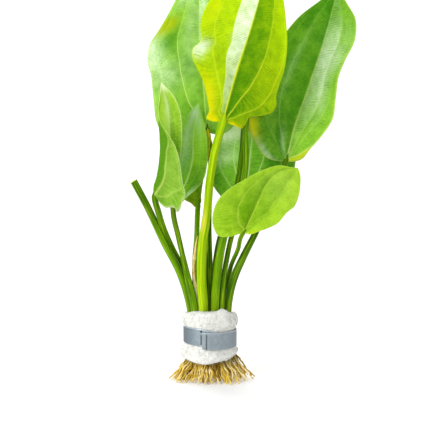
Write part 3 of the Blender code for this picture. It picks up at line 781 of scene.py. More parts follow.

# Front leaf
# The tall young blade in front, seen from its underside with the light coming through it: soft living
# tissue under a waxy skin, grown on its stalk. Beside its raised midrib the left half turns up into a
# glossy strip, a painted sheen; the brightness of that half and the dark of the right one are painted
# light and shade too. All the blades are made as this one is.
BLADE_THICKNESS = 0.42
MARGIN_THICKNESS = 0.16
MARGIN_TAPER = 3.0  # over what width a blade thins out to its margin
WAVE_SHIFT = 1.7  # by how much the right margin's waves run ahead, in radians
MIDRIB = (0.62, 1.0)  # half width and rise at the joint
SIDE_VEIN = (0.42, 0.38)
UPPER_VEIN = 0.22  # how much of a vein's rise is sunk into the upper side
VEINLET_GAP = 1.9
VEINLET_RISE = 0.10
QUILT_RISE = 0.32
DIMPLE_RISE = 0.30
MARGIN_BAND = 0.5  # width of the pale margin
EDGE_FADE = 0.35  # how softly a band ends
LIGHT_THROUGH = 0.42  # the share of a blade's light that comes through it
# Tints of a blade's skin: deep, light, pale, vein, edge, glow and warm. The tone between deep and light
# is painted light and shade, and pale is the colour of its painted sheen.
GROWN_UNDERSIDE = ("#5f9a2a", "#9ac650", "#d5e8b8", "#cfe08a", "#b8d44a", "#b6e02a", "#b6d02a")


def vein_runs(leaf, t):
    """The margins, the midrib and the veins, from left to right: each one's column place, how strongly
    it shows, and its place across the blade in each row. A vein starts close to the midrib and bends out."""
    runs = [(-1.0, 0.0, 0 * t - 1), (0.0, leaf.get("midrib", 1.0), 0 * t), (1.0, 0.0, 0 * t + 1)]
    for home, strength, *path in leaf["veins"]:
        stops = path[0] if path else [(0, 0.3 * home), (0.12, 0.55 * home), (0.4, home), (1, home)]
        runs.append((home, strength, np.interp(t, *zip(*stops))))
    return sorted(runs, key=lambda run: run[0])


def spread(places, density, count):
    """That many places, as close together as the density says."""
    share = np.concatenate([[0], np.cumsum((density[1:] + density[:-1]) / 2)])
    return np.interp(np.linspace(0, share[-1], count), share, places)


def spread_columns(leaf, count):
    """Columns across a blade from -1 to 1, closer together over its midrib and veins."""
    fine = np.linspace(-1, 1, 4001)
    density = np.ones_like(fine)
    for home in [0.0] + [vein[0] for vein in leaf["veins"]]:
        density += 5 * np.exp(-(((fine - home) / 0.02) ** 2))
    return spread(fine, density, count)


def grid_shares(leaf, rows, count):
    """A blade's vein runs, and the share along and across it at each point of its grid."""
    steps = np.linspace(0, 1, rows)
    runs = vein_runs(leaf, steps)
    homes = [run[0] for run in runs]
    columns = spread_columns(leaf, count)
    v = np.array([np.interp(columns, homes, places) for places in zip(*(run[2] for run in runs))])
    return runs, steps[:, None] * np.ones_like(v), v


def blade_ends(leaf):
    """A blade's joint with its stalk, its tip, and how far apart the two are."""
    stalk = leaf["node"].replace("leaf", "stalk")
    joint, tip = STALKS[stalk]["line"][-1], BLADE_TIPS[stalk]
    return joint, tip, (Vector(tip) - Vector(joint)).length


def blade_axes(joint, tip):
    """Along the blade, across it to the viewer's right, and out of it towards the viewer."""
    along = (Vector(tip) - Vector(joint)).normalized()
    towards = Vector((0, -1, 0))
    towards = (towards - along * towards.dot(along)).normalized()
    return np.array(along), np.array(along.cross(towards)), np.array(towards)


def wander(grid, size):
    """A soft random value at each point of a grid, changing over about that many millimetres."""
    flat = grid.reshape(-1, 3) / size
    return np.array([noise.noise(Vector(place)) for place in flat]).reshape(grid.shape[:2])


def patches(leaf, label, t, v):
    """Soft patches over a blade, each given by its place, its reach both ways and its strength."""
    total = np.zeros(np.broadcast(t, v).shape)
    for at, across, reach, width, strength in leaf.get(label, []):
        total += strength * np.exp(-(((t - at) / reach) ** 2) - ((v - across) / width) ** 2)
    return total


def bands(leaf, label, runs, half, t, v):
    """Bands between two veins, crisp at both, each given by the veins' columns and strengths along it."""
    total = np.zeros_like(v)
    places = {home: place[:, None] for home, _, place in runs}
    for low, high, strengths in leaf.get(label, []):
        inside = np.clip((v - places[low]) * half / EDGE_FADE + 0.5, 0, 1)
        inside = inside * np.clip((places[high] - v) * half / EDGE_FADE + 0.5, 0, 1)
        total += inside * np.interp(t, *zip(*strengths))
    return total


def blade_grid(leaf, rows, count):
    """The middle surface of a blade, its veins, and at each point the distances along and across it in
    millimetres, the half width, and the shares along and across."""
    joint, tip, length = blade_ends(leaf)
    along, across, towards = blade_axes(joint, tip)
    runs, t, v = grid_shares(leaf, rows, count)
    left, middle, right = (
        smooth_line([(0, 0)] + leaf[line] + [(length, 0)], rows)[:, None]
        for line in ("left", "middle", "right")
    )
    margin = np.where(v[..., None] < 0, left, right)
    spot = middle + (margin - middle) * np.abs(v)[..., None]
    half = np.linalg.norm(margin - middle, axis=-1)
    side = np.where(v < 0, 0, 1)
    size, waves, phase = leaf["wave"]
    lift = np.array(leaf["fold"])[side] * half * np.abs(v) + np.array(leaf["curl"])[side] * half * v * v
    lift = lift + leaf["arch"] * np.sin(np.pi * t)
    lift = lift + size * np.sin(2 * np.pi * waves * t + phase + side * WAVE_SHIFT) * np.abs(v) ** 3
    lift = lift * np.minimum(1, np.minimum(4 * t, 6 * (1 - t)))
    lift = lift + patches(leaf, "swells", t, v)
    lift[[0, -1]] = 0
    grid = np.array(joint) + along * spot[..., :1] + across * spot[..., 1:] + towards * lift[..., None]
    return grid, runs, spot[..., 0], half * np.abs(v), half, t, v


def veined(leaf, grid, runs, far, out, half, t, v):
    """Rise of the veins, the quilting and the veinlets, and the values that the skin is coloured by, with
    painted light, shade and sheen among them.
    """
    rise = np.zeros_like(t)
    vein = np.zeros_like(t)
    nearest = np.full_like(t, 99.0)
    for home, strength, place in runs:
        apart = np.abs(v - place[:, None]) * half
        nearest = np.minimum(nearest, apart)
        width, height = MIDRIB if home == 0 else SIDE_VEIN
        narrow = 1.15 - 0.75 * t
        shape = np.exp(-((apart / (width * narrow)) ** 2))
        rise = np.maximum(rise, height * narrow * shape * min(1, strength * 1.5))
        vein = np.maximum(vein, strength * shape * np.clip(1.3 - t, 0.3, 1))
    slope = np.where(v < 0, leaf["slant"][0], leaf["slant"][1])
    phase = (far - slope * out) / leaf.get("veinlet_gap", VEINLET_GAP) + 0.6 * wander(grid, 9.0)
    uneven = np.clip(0.75 + 1.2 * wander(grid, 5.0), 0.15, 1.2)
    veinlet = (0.5 + 0.5 * np.cos(2 * np.pi * phase)) ** 2 * uneven
    ends = np.minimum(1, np.minimum(t / 0.04, (1 - t) / 0.04))
    quilt = np.minimum(1, nearest / 2.4) ** 2 * (1.15 - 0.5 * veinlet) * ends
    dimple = (wander(grid, 3.2) + 1.3 * wander(grid + 50, 7.5)) * ends * np.minimum(1, nearest / 1.5)
    values = {
        "vein": vein * np.minimum(1, (1 - t) / 0.04),
        "veinlet": veinlet * ends * (1 - vein) * np.minimum(1, nearest / 0.8),
        "edge": np.exp(-(((1 - np.abs(v)) * half / MARGIN_BAND) ** 2)),
        "light": (
            np.interp(v, *zip(*leaf["light"])) + np.interp(t, *zip(*leaf["painted_light_and_shade_along"]))
            + patches(leaf, "painted_light_and_shade_patches", t, v) + bands(leaf, "painted_light_and_shade_bands", runs, half, t, v)
        ),
        "pale": np.clip(patches(leaf, "pale", t, v) + bands(leaf, "painted_sheen_bands", runs, half, t, v), 0, 1),
        "warm": np.clip(patches(leaf, "warm", t, v) + bands(leaf, "warm_bands", runs, half, t, v), 0, 1),
    }
    quilted = QUILT_RISE * quilt + DIMPLE_RISE * dimple * leaf.get("dimpled", 1.0)
    return rise * ends, quilted, VEINLET_RISE * veinlet * ends, values


def blade_shell(leaf, surface):
    """The blade as a closed sheet round its middle surface: its front grid faces the viewer."""
    grid, half, v = surface[0], surface[4], surface[6]
    rise, quilted, lined, values = veined(leaf, *surface)
    normals = surface_normals(grid)
    # The right half of every blade faces the viewer, the rolled one's too.
    if normals[100, -10, 1] > 0:
        normals = -normals
    thinning = np.minimum(1, (1 - np.abs(v)) * half / MARGIN_TAPER)
    thick = MARGIN_THICKNESS + (BLADE_THICKNESS - MARGIN_THICKNESS) * thinning
    thick[[0, -1]] = 0
    under = rise + lined - quilted
    upper = quilted - UPPER_VEIN * rise - lined
    front, back = (under, upper) if leaf["shows"] == "underside" else (upper, under)
    front = grid + normals * (thick / 2 + front)[..., None]
    back = grid - normals * (thick / 2 + back)[..., None]
    front[[0, -1]] = grid[[0, -1]]
    return shell(front, back, values)


def waxy_leaf(name, tints, roughness, shine, network, lines):
    """Living leaf tissue under a waxy cuticle: satin over fine pitted cells, with light coming through
    the blade, which gives the eye a fresh, juicy leaf with its net of veins. Its light and dark areas
    are painted light and shade, and its pale sheen a painted sheen, fixed on the blade, so they don't
    follow the lights."""
    deep, light, pale, vein, edge, glow, warm = (colour(tint) for tint in tints)
    made, tree, shader = material_named(name)
    place = add(tree, "ShaderNodeTexCoord", {}, {}).outputs["Object"]
    labels = ("vein", "veinlet", "edge", "light", "pale", "warm")
    read = {label: attribute(tree, label) for label in labels}
    # Blotches of about 8 mm, mottling of about 2 mm, and the net of cells, 0.9 mm wide where the real one
    # is half of that, so that it shows.
    blotch = grained(tree, place, 120.0, 2.0)
    mottle = grained(tree, place, 520.0, 4.0)
    net = fitted(tree, from_walls(tree, place, 1100.0), 0.0, 0.16, 1.0, 0.0)
    # The light value is painted light and shade: it sets the tone between deep and light.
    shifted = sum_of(tree, read["light"], fitted(tree, blotch, 0.3, 0.7, -0.16, 0.16))
    mottled = sum_of(tree, shifted, fitted(tree, mottle, 0.3, 0.7, -0.14, 0.14))
    tone = sum_of(tree, mottled, read["veinlet"], -0.32)
    tissue = blended(tree, fitted(tree, tone, 0.0, 1.0), deep, light)
    netted = blended(tree, fitted(tree, net, 0.0, 1.0, 0.0, network), tissue, vein)
    warmed = blended(tree, read["warm"], netted, warm)
    # The pale value is a painted sheen, broken up by the veinlets.
    broken = sum_of(tree, fitted(tree, mottle, 0.3, 0.7, 0.8, 1.2), read["veinlet"], -lines)
    settings = {"operation": "MULTIPLY", "use_clamp": True}
    sheen = add(tree, "ShaderNodeMath", settings, {0: read["pale"], 1: broken}).outputs["Value"]
    painted_sheen_colour = blended(tree, sheen, warmed, pale)
    ribbed = blended(tree, read["vein"], painted_sheen_colour, vein)
    edged = blended(tree, fitted(tree, read["edge"], 0.0, 1.0, 0.0, 0.75), ribbed, edge)
    give(tree, shader, {
        "Base Color": edged,
        "Normal": relief(tree, sum_of(tree, mottle, net, -0.35), 0.35, 0.3),
        "Roughness": fitted(tree, mottle, 0.3, 0.7, roughness - 0.06, roughness + 0.08),
        "IOR": 1.47,
        "Specular IOR Level": shine,
    })
    # The light through the blade carries the same painted tone and sheen.
    lit = blended(tree, fitted(tree, tone, -0.35, 1.0), deep, glow)
    lit_warm = blended(tree, read["warm"], lit, warm)
    lit_sheen = blended(tree, sheen, lit_warm, pale)
    veins_lit = blended(tree, read["vein"], lit_sheen, vein)
    through_blade = add(tree, "ShaderNodeBsdfTranslucent", {}, {"Color": veins_lit}).outputs["BSDF"]
    inputs = {"Fac": LIGHT_THROUGH, 1: shader.outputs["BSDF"], 2: through_blade}
    both = add(tree, "ShaderNodeMixShader", {}, inputs).outputs["Shader"]
    give(tree, tree.nodes["Material Output"], {"Surface": both})
    return made


def grow(name, leaf, surface):
    """Makes a blade's piece with its two skins, riding on the plant in place of its node."""
    points, faces, values, slots = blade_shell(leaf, surface)
    usual = {"shine": 0.10, "network": 0.10, "lines": 0.45}
    finish = [leaf.get(label, amount) for label, amount in usual.items()]
    upper = waxy_leaf(name + "_upper_skin", leaf["upper"], leaf.get("gloss", 0.36), *finish)
    under = waxy_leaf(name + "_underside_skin", leaf["under"], leaf.get("under_gloss", 0.42), *finish)
    skins = [under, upper] if leaf["shows"] == "underside" else [upper, under]
    blade = piece(name, points, faces, values, skins, slots)
    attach(blade, "root")
    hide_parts(leaf["node"])


# Outlines are in millimetres along the blade from its joint and across it, then how the blade folds,
# curls, arches and waves, and where its colours lie. The light values, with their bands and patches, are
# painted light and shade, and the pale ones a painted sheen.
front_leaf = {
    "node": "leaf_front", "shows": "underside",
    "left": [(-2, -2.5), (-3, -7), (-2.2, -11.5), (2.5, -11), (8.8, -13.7), (15.2, -16.7), (21.4, -20.5),
             (27.9, -25.9), (32.5, -29.8), (37.5, -32.2), (42, -31.6), (45, -29.2), (48.5, -28.2),
             (54.4, -30.7), (61.9, -31.6), (76, -29), (91, -24.5), (106.5, -16)],
    "middle": [(35, 0.2), (69.5, 2), (101.5, 2)],
    "right": [(-1.5, 4), (-2.2, 9), (-3, 13.5), (1.5, 15.5), (5.4, 16.5), (7, 21), (9, 26), (11.8, 30.6),
              (16.5, 32.3), (24, 30.6), (31, 30.6), (41, 31.3), (49.2, 30.5), (62, 28), (76, 23.3),
              (92, 16.5), (107, 8)],
    "fold": (-0.35, -0.12), "curl": (-0.10, -0.20), "arch": 5.0, "wave": (1.6, 3.0, 0.6),
    "swells": [(0.42, -0.95, 0.035, 0.16, 2.4), (0.47, -0.97, 0.03, 0.14, -1.4),
               (0.06, 0.95, 0.04, 0.25, 2.0), (0.06, -0.95, 0.04, 0.25, 1.6)],
    "veins": [
        (-0.72, 0.8, [(0, -0.42), (0.1, -0.38), (0.15, -0.37), (0.18, -0.42), (0.21, -0.46), (0.26, -0.52),
                      (0.36, -0.54), (0.43, -0.64), (0.48, -0.70), (1, -0.72)]),
        (-0.36, 0.35, [(0, -0.24), (0.07, -0.25), (0.13, -0.31), (0.18, -0.33), (0.22, -0.30), (0.26, -0.28),
                       (0.36, -0.29), (0.5, -0.32), (0.67, -0.35), (1, -0.36)]),
        (0.5, 0.9, [(0, 0.45), (0.03, 0.42), (0.046, 0.34), (0.062, 0.31), (0.081, 0.28), (0.108, 0.31),
                    (0.135, 0.36), (0.154, 0.38), (0.18, 0.35), (0.236, 0.34), (0.263, 0.36), (0.29, 0.38),
                    (0.324, 0.43), (0.351, 0.46), (0.45, 0.50), (0.58, 0.53), (0.73, 0.59), (1, 0.62)]),
        (0.8, 0.6, [(0, 0.60), (0.042, 0.57), (0.073, 0.53), (0.097, 0.55), (0.116, 0.64), (0.135, 0.75),
                    (0.155, 0.82), (0.174, 0.79), (0.2, 0.78), (0.24, 0.74), (0.266, 0.75), (0.286, 0.77),
                    (0.309, 0.83), (0.328, 0.87), (0.5, 0.95), (1, 0.95)]),
    ],
    "slant": (0.66, 0.31), "veinlet_gap": 1.6,
    "light": [(-1, 0.95), (-0.3, 0.85), (-0.02, 0.6), (0.02, 0.14), (0.3, 0.26), (1, 0.55)],
    "painted_light_and_shade_along": [(0, -0.05), (0.2, -0.05), (0.6, 0.08), (1, 0.25)],
    "painted_light_and_shade_bands": [(0.5, 1.0, [(0, 0.0), (0.2, 0.1), (0.35, 0.4), (1, 0.4)])],
    "painted_light_and_shade_patches": [(0.10, 0.35, 0.08, 0.3, -0.2)],
    "painted_sheen_bands": [(-0.36, 0.0, [(0, 0.1), (0.1, 0.3), (0.2, 0.5), (0.36, 0.8), (0.5, 1.0), (1, 1.0)])],
    "pale": [(0.405, -0.9, 0.035, 0.14, 2.2), (0.47, -0.2, 0.03, 0.12, 0.6)],
    # Its warm yellow patches are partly painted glow of light through the thin, curled margins.
    "warm": [(0.18, -0.9, 0.10, 0.25, 0.8), (0.06, -0.9, 0.05, 0.3, 1.0), (0.055, 0.9, 0.035, 0.16, 1.0),
             (0.62, -0.85, 0.10, 0.15, 0.3)],
    "upper": ("#3f8a0a", "#8cc21e", "#cfe8a8", "#c6dc70", "#a8cc3a", "#d8f03c", "#d8d820"),
    "under": ("#55a002", "#c2e200", "#f6fdec", "#e6f032", "#d8ee10", "#d8f000", "#f4ea00"),
    "under_gloss": 0.30, "shine": 0.06, "network": 0.12, "lines": 0.9,
}
grow("front_blade", front_leaf, blade_grid(front_leaf, 330, 72))

# Right leaf
# The largest grown blade, seen from above its upper side. Its right half folds up along the midrib. The
# light of that half, with a painted sheen beside the midrib, and the dark of the left one are painted
# light and shade in its colour. At its base the right lobe turns over and shows its underside.
right_leaf = {
    "node": "leaf_right", "shows": "upper",
    "left": [(-1.5, -6.5), (-1, -15), (5.5, -23.5), (14, -32), (25, -35.5), (45.5, -34.5), (62, -33),
             (76, -29), (100, -19.5), (114.5, -9)],
    "middle": [(20, -1), (53, 0.5), (97, 1.5)],
    "right": [(1, 4), (4, 9.5), (12, 13), (24, 18), (37, 21.5), (49.5, 20), (67, 17.5), (77.5, 18.5),
              (93, 21), (106, 18), (117.5, 9)],
    "fold": (0.15, 0.75), "curl": (0.05, 0.05), "arch": -4.0, "wave": (1.2, 3.0, 2.0),
    "swells": [(0.12, -0.45, 0.12, 0.10, -1.6), (0.16, -0.22, 0.12, 0.08, 0.9)],
    "veins": [(-0.8, 0.15), (-0.48, 0.3), (0.5, 0.35), (0.8, 0.15),
              (0.9, 0.7, [(0, 0.3), (0.04, 0.45), (0.08, 0.65), (0.12, 0.85), (0.16, 0.985), (1, 0.985)])],
    "slant": (0.45, 0.45),
    "light": [(-1, 0.4), (-0.7, 0.3), (-0.45, 0.45), (-0.03, 0.2), (0.03, 0.8), (1, 0.85)],
    "painted_light_and_shade_along": [(0, 0.0), (0.3, 0.0), (0.7, 0.05), (0.85, -0.25), (1, -0.3)],
    "painted_light_and_shade_patches": [(0.16, -0.36, 0.12, 0.10, -0.4)],
    "pale": [(0.55, -0.47, 0.16, 0.08, 0.2), (0.11, -0.95, 0.06, 0.10, 0.9), (0.12, -0.28, 0.08, 0.06, 0.3),
             (0.45, 0.55, 0.15, 0.16, 0.5), (0.60, 0.62, 0.07, 0.3, 0.6), (0.72, 0.6, 0.08, 0.5, 0.15)],
    "painted_sheen_bands": [
        (0.0, 0.5, [(0, 0.0), (0.2, 0.1), (0.35, 0.4), (0.6, 0.9), (0.75, 0.4), (0.85, 0.1), (1, 0.1)]),
    ],
    "warm_bands": [(0.9, 1.0, [(0, 0.7), (0.15, 0.7), (0.165, 0.0)])],
    "warm": [(0.24, -0.97, 0.05, 0.13, 2.0)],
    "upper": ("#4a9a04", "#9ed23c", "#e2f3d6", "#d2e884", "#cfe470", "#b2e614", "#e6e400"),
    "under": GROWN_UNDERSIDE,
    "gloss": 0.30, "shine": 0.07, "midrib": 0.9, "lines": 0.6,
}
grow("right_blade", right_leaf, blade_grid(right_leaf, 320, 70))

# Left leaf
# A large light green blade behind the front leaf, seen from above its upper side, with a broad soft
# shoulder on its left. The whitish sheen on that shoulder and along the midrib is painted sheen, and its
# lighter and darker areas are painted light and shade.
left_leaf = {
    "node": "leaf_left", "shows": "upper",
    "left": [(-4, -4), (-7.5, -13), (-5, -25), (5, -34), (23.5, -36.5), (41, -37.5), (52, -39.5),
             (62, -37.5), (74, -29.5), (92.5, -18), (110.5, -8.5)],
    "middle": [(14, -1), (32, -1.5), (59.5, -2.5), (91.5, -1.5)],
    "right": [(-2, 3), (-2, 12), (6.5, 21.5), (20, 28.5), (37.5, 32), (55, 31.5), (75, 27.5),
              (90.5, 21.5), (109.5, 12)],
    "fold": (0.15, 0.20), "curl": (-0.10, 0.05), "arch": -3.0, "wave": (1.6, 2.5, 0.0),
    "swells": [(0.52, -0.95, 0.09, 0.25, -3.0)],
    "veins": [(-0.8, 0.15), (-0.44, 1.0, [(0, -0.12), (0.1, -0.2), (0.22, -0.32), (0.4, -0.42), (1, -0.44)]),
              (0.42, 0.5), (0.78, 0.3)],
    "slant": (0.3, 0.5),
    "light": [(-1, 0.75), (-0.5, 0.6), (0, 0.7), (0.4, 0.55), (1, 0.5)],
    "painted_light_and_shade_along": [(0, -0.15), (0.4, 0.12), (0.75, 0.2), (1, 0.5)],
    "painted_light_and_shade_patches": [(0.57, -0.62, 0.06, 0.16, -0.75), (0.42, -0.3, 0.05, 0.2, -0.3)],
    "pale": [(0.55, -1.0, 0.055, 0.18, 1.1), (0.47, -0.85, 0.08, 0.22, 0.5), (0.40, -0.6, 0.07, 0.25, 0.3),
             (0.80, -0.55, 0.05, 0.3, 0.6), (0.62, -0.2, 0.25, 0.14, 0.35), (0.7, 0.12, 0.3, 0.14, 0.8)],
    "warm": [(0.66, -0.84, 0.045, 0.28, 1.5)],
    "upper": ("#5aa806", "#aadc4e", "#eefbe2", "#def28e", "#cfe888", "#b6e81e", "#b8cc02"),
    "under": ("#6aa336", "#a6cf62", "#d5e8b8", "#cfe08a", "#b8d44a", "#b6e02a", "#b6d02a"),
    "gloss": 0.34, "midrib": 0.7, "lines": 0.8,
}
grow("left_blade", left_leaf, blade_grid(left_leaf, 310, 70))

# Slim leaf
# A narrow grown blade beside the rolled one, of the same living tissue and grown on its own stalk. The
# bluish shade on its left half, its sheen and its lighter tip are painted in its colour.
slim_leaf = {
    "node": "leaf_slim", "shows": "upper",
    "left": [(-1, -1), (1.5, -4), (8, -6), (19, -7.5), (33.5, -8), (47, -7.5), (58, -6.5), (66.5, -2.5)],
    "middle": [(6, 3), (16, 5.5), (33, 5.5), (46, 2.5), (60, 1)],
    "right": [(0, 5), (6, 9), (12.5, 13.5), (20, 16.5), (32.5, 16), (47, 12), (61, 5.5)],
    "fold": (0.20, 0.15), "curl": (0.0, -0.05), "arch": 0.5, "wave": (0.6, 2.5, 1.0),
    "veins": [(-0.5, 0.12), (0.5, 0.15)],
    "slant": (0.5, 0.5),
    "light": [(-1, 0.5), (-0.03, 0.65), (0.03, 1.05), (0.6, 0.9), (1, 0.85)],
    "painted_light_and_shade_along": [(0, 0.0), (0.2, -0.15), (0.5, 0.0), (0.75, 0.45), (1, 0.7)],
    "painted_light_and_shade_patches": [(0.32, 0.5, 0.08, 0.4, -0.3)],
    "pale": [(0.90, -0.3, 0.08, 0.5, 0.8), (0.72, -0.46, 0.12, 0.3, 0.3), (0.18, 0.93, 0.06, 0.22, 0.9),
             (0.53, -0.4, 0.2, 0.3, 0.3), (0.85, 0.4, 0.15, 0.4, 0.3)],
    "upper": ("#469a1c", "#9ad61e", "#e0f4dc", "#d8f29a", "#c6e67a", "#b0e41c", "#a9c81e"),
    "under": GROWN_UNDERSIDE,
    "gloss": 0.28, "midrib": 1.0, "lines": 0.3,
}
grow("slim_blade", slim_leaf, blade_grid(slim_leaf, 200, 52))

# Back leaf
# A broad grown blade in the middle, behind the front leaf's stalk and grown on its own: dimpled tissue
# with painted light on the left of its midrib, painted shade on the right and a painted sheen high on its
# left.
back_leaf = {
    "node": "leaf_back", "shows": "upper",
    "left": [(-3, -3), (-2.5, -9), (5, -16), (11.5, -22), (22, -26), (39.5, -26.5), (56, -22),
             (65.5, -16.5), (80.5, -9)],
    "middle": [(22.5, 1), (48, 1), (72.5, 1)],
    "right": [(-2.5, 3), (-2, 10), (4, 18.5), (13.5, 27.5), (24, 32), (33.5, 33), (45.5, 31.5),
              (59, 26.5), (80, 14.5)],
    "fold": (0.20, 0.10), "curl": (0.05, 0.05), "arch": -3.0, "wave": (0.8, 2.0, 0.0),
    "veins": [(-0.8, 0.5), (-0.42, 0.9), (0.3, 0.9), (0.7, 0.4)],
    "slant": (0.2, 0.2), "veinlet_gap": 2.4, "dimpled": 1.6,
    "light": [(-1, 0.35), (-0.75, 0.6), (-0.4, 1.0), (0.1, 0.75), (0.35, 0.6), (0.45, 0.25), (1, 0.1)],
    "painted_light_and_shade_along": [(0, -0.25), (0.3, -0.05), (1, 0.2)],
    "pale": [(0.64, -0.62, 0.11, 0.45, 2.8), (0.40, -0.6, 0.05, 0.3, 0.5)],
    "upper": ("#4f9f04", "#9ad63e", "#f2fbe8", "#e2f6b8", "#c6e078", "#ace41c", "#a9c81e"),
    "under": GROWN_UNDERSIDE,
    "gloss": 0.26, "lines": 0.15,
}
grow("back_blade", back_leaf, blade_grid(back_leaf, 230, 60))

# Low leaf
# A young oval blade low on the right, satin and pale yellow-green, arched over towards the viewer. Its
# lighter and darker areas are painted light and shade.
low_leaf = {
    "node": "leaf_low", "shows": "upper",
    "left": [(-1.5, -1), (-9, -6), (-13, -11), (-10.5, -18.5), (-2, -25), (6, -27.5), (17, -27),
             (28, -23.5), (43.5, -17), (53, -10), (56.5, -4)],
    "middle": [(8, -2), (18, -4.5), (27, -7), (38, -9.5), (48.5, -8.5), (55, -4)],
    "right": [(1.5, 3), (8, 7), (14.5, 10), (21.5, 12.5), (34, 13), (38.5, 14), (44.5, 12.5),
              (51, 9), (57.5, 3)],
    "fold": (0.10, 0.45), "curl": (-0.25, -0.15), "arch": 3.0, "wave": (0.7, 2.0, 0.5),
    "swells": [(0.12, 0.9, 0.07, 0.25, 1.6)],
    "veins": [(-0.44, 0.8, [(0, -0.14), (0.15, -0.3), (0.35, -0.42), (1, -0.44)]), (0.5, 0.25)],
    "slant": (0.3, 0.4), "veinlet_gap": 1.5,
    "light": [(-1, 0.85), (-0.55, 0.6), (-0.43, 0.35), (-0.05, 0.12), (0.05, 0.55), (0.45, 0.35),
              (0.6, 0.85), (1, 0.95)],
    "painted_light_and_shade_along": [(0, 0.25), (0.25, 0.0), (0.6, 0.05), (1, 0.35)],
    "painted_light_and_shade_patches": [(0.0, -0.7, 0.2, 0.5, 0.2)],
    "pale": [(0.75, 0.3, 0.25, 0.7, 0.15)],
    "warm": [(0.10, 0.92, 0.06, 0.2, 1.0)],
    "upper": ("#70aa02", "#b2d834", "#d9ea90", "#c0da4c", "#dcf070", "#c8f000", "#c6e000"),
    "under": ("#7ba820", "#b0cf4a", "#d5e8b8", "#d8e68a", "#cfe05a", "#cdea20", "#c6e000"),
    "gloss": 0.42, "shine": 0.05, "dimpled": 0.6, "network": 0.12,
}
grow("low_blade", low_leaf, blade_grid(low_leaf, 180, 60))

# Narrow leaf
# A small blade behind the slim one, grown on its own thin stalk: older tissue, seen mostly from its dark
# underside, with a curled yellow tip that is also painted lighter.
narrow_leaf = {
    "node": "leaf_narrow", "shows": "underside",
    "left": [(-2.5, -1), (0, -5.5), (1.5, -9.5), (6, -10.5), (15.5, -9.5), (29.5, -9.5), (43.5, -7)],
    "middle": [(12.5, 0), (27.5, 0), (41.5, 0)],
    "right": [(0.5, 1.2), (6.5, 1.2), (17.5, 1.4), (25, 2.2), (33, 3), (40.5, 3), (49, 2.5)],
    "fold": (-0.30, -0.50), "curl": (0.0, 0.0), "arch": 0.0, "wave": (0.3, 2.0, 0.0),
    "veins": [(-0.5, 0.3)],
    "slant": (0.4, 0.4),
    "light": [(-1, 0.5), (0.3, 0.5), (1, 0.8)],
    "painted_light_and_shade_along": [(0, 0.0), (0.75, 0.0), (0.92, 0.8), (1, 1.0)],
    "warm": [(1.0, 0.0, 0.10, 2.0, 1.0), (0.75, 1.0, 0.3, 0.25, 0.5)],
    "upper": ("#3c7d0a", "#b9cf10", "#d8ecc4", "#cfe6a4", "#c9a23a", "#a8dc30", "#f0d810"),
    "under": ("#2f6c04", "#c2d60e", "#d5e8b8", "#7fae2a", "#eac040", "#8cc020", "#fbe410"),
    "midrib": 0.6,
}
grow("narrow_blade", narrow_leaf, blade_grid(narrow_leaf, 130, 44))

# Hidden leaves
# Two grown blades of the same tissue that stand on their stalks close behind the front leaf, where only
# their stalks show from in front.
HIDDEN_FINISH = {
    "shows": "upper", "curl": (0.0, 0.0), "wave": (0.5, 2.0, 0.0), "slant": (0.4, 0.4),
    "veins": [(-0.7, 0.3), (-0.35, 0.5), (0.35, 0.5), (0.7, 0.3)],
    "light": [(-1, 0.5), (1, 0.4)], "painted_light_and_shade_along": [(0, 0.0), (1, 0.1)],
    "upper": ("#3f8a0a", "#8ac63c", "#d8ecc4", "#cfe6a4", "#b8d44a", "#a8dc30", "#a9c81e"),
    "under": GROWN_UNDERSIDE,
}
hidden_left_leaf = HIDDEN_FINISH | {
    "node": "leaf_hidden_left",
    "left": [(-2.5, -4), (3, -12), (15, -16.5), (31, -17.5), (47.5, -13), (58, -6)],
    "middle": [(16.5, 0), (37.5, 0)],
    "right": [(-2.5, 2), (1.5, 6), (13.5, 8.5), (30, 9), (46.5, 7), (57.5, 4)],
    "fold": (0.20, 0.20), "arch": 1.0,
}
hidden_right_leaf = HIDDEN_FINISH | {
    "node": "leaf_hidden_right",
    "left": [(-2.5, -2), (0.5, -8), (10, -13), (26, -13.5), (41.5, -10), (52, -5)],
    "middle": [(16, -1), (37.5, -1)],
    "right": [(-0.5, 3), (4.5, 9.5), (16, 14), (30, 13), (43, 8.5), (51.5, 4)],
    "fold": (0.15, 0.15), "arch": -2.0,
}
for name, leaf in (("hidden_left_blade", hidden_left_leaf), ("hidden_right_blade", hidden_right_leaf)):
    grow(name, leaf, blade_grid(leaf, 140, 40))

# Rolled leaf
# The young blade on the far left, whose left half has rolled forward over its front and shows its
# matt underside; above the roll its upper side can be seen. The light of that upper side, the dark strip
# beside its fold and the white sheen at its tip are painted light, shade and sheen.
ROLLED_LINES = [
    [(-34.5, -11.5, 129.5), (-29.5, -10.5, 132.5), (-23.5, -9, 142), (-20, -8, 154.5), (-18.6, -8, 170),
     (-19.4, -8, 185), (-23, -7, 196), (-30.3, -4, 204.5)],
    [(-33, -9.5, 137), (-28.3, -7, 150.7), (-27, -5.5, 164.3), (-27.6, -4.5, 180), (-29, -3.5, 192.2)],
    [(-37.8, -13.5, 135.6), (-35.6, -14, 144), (-33.6, -13.5, 158), (-33.6, -13, 170), (-34.4, -11.5, 180),
     (-33.6, -8, 193.2)],
    [(-35.6, -15, 128.6), (-33, -17, 124.6), (-26, -19, 122.6), (-20, -20, 125), (-16.4, -21, 130.9),
     (-18, -21, 140), (-19.6, -20, 151.4), (-22.8, -19, 164.2), (-28, -18, 173), (-33, -16, 180.5),
     (-34.8, -12.5, 187), (-33.6, -8.5, 197)],
]
LINE_PLACES = (1.0, 0.0, -0.45, -1.0)  # the right margin, the midrib, the fold and the rolled half's margin
SCALLOP = (0.35, 7.0)  # size and length of the waves along the rolled half's lower margin
HANGING_LOBE = (4.0, -21.0, 2.0)  # how far its small round lobe hangs down, where and how wide
LOWER_MARGIN = (134.0, 6.0)  # the height under which both set in, and over how much of it
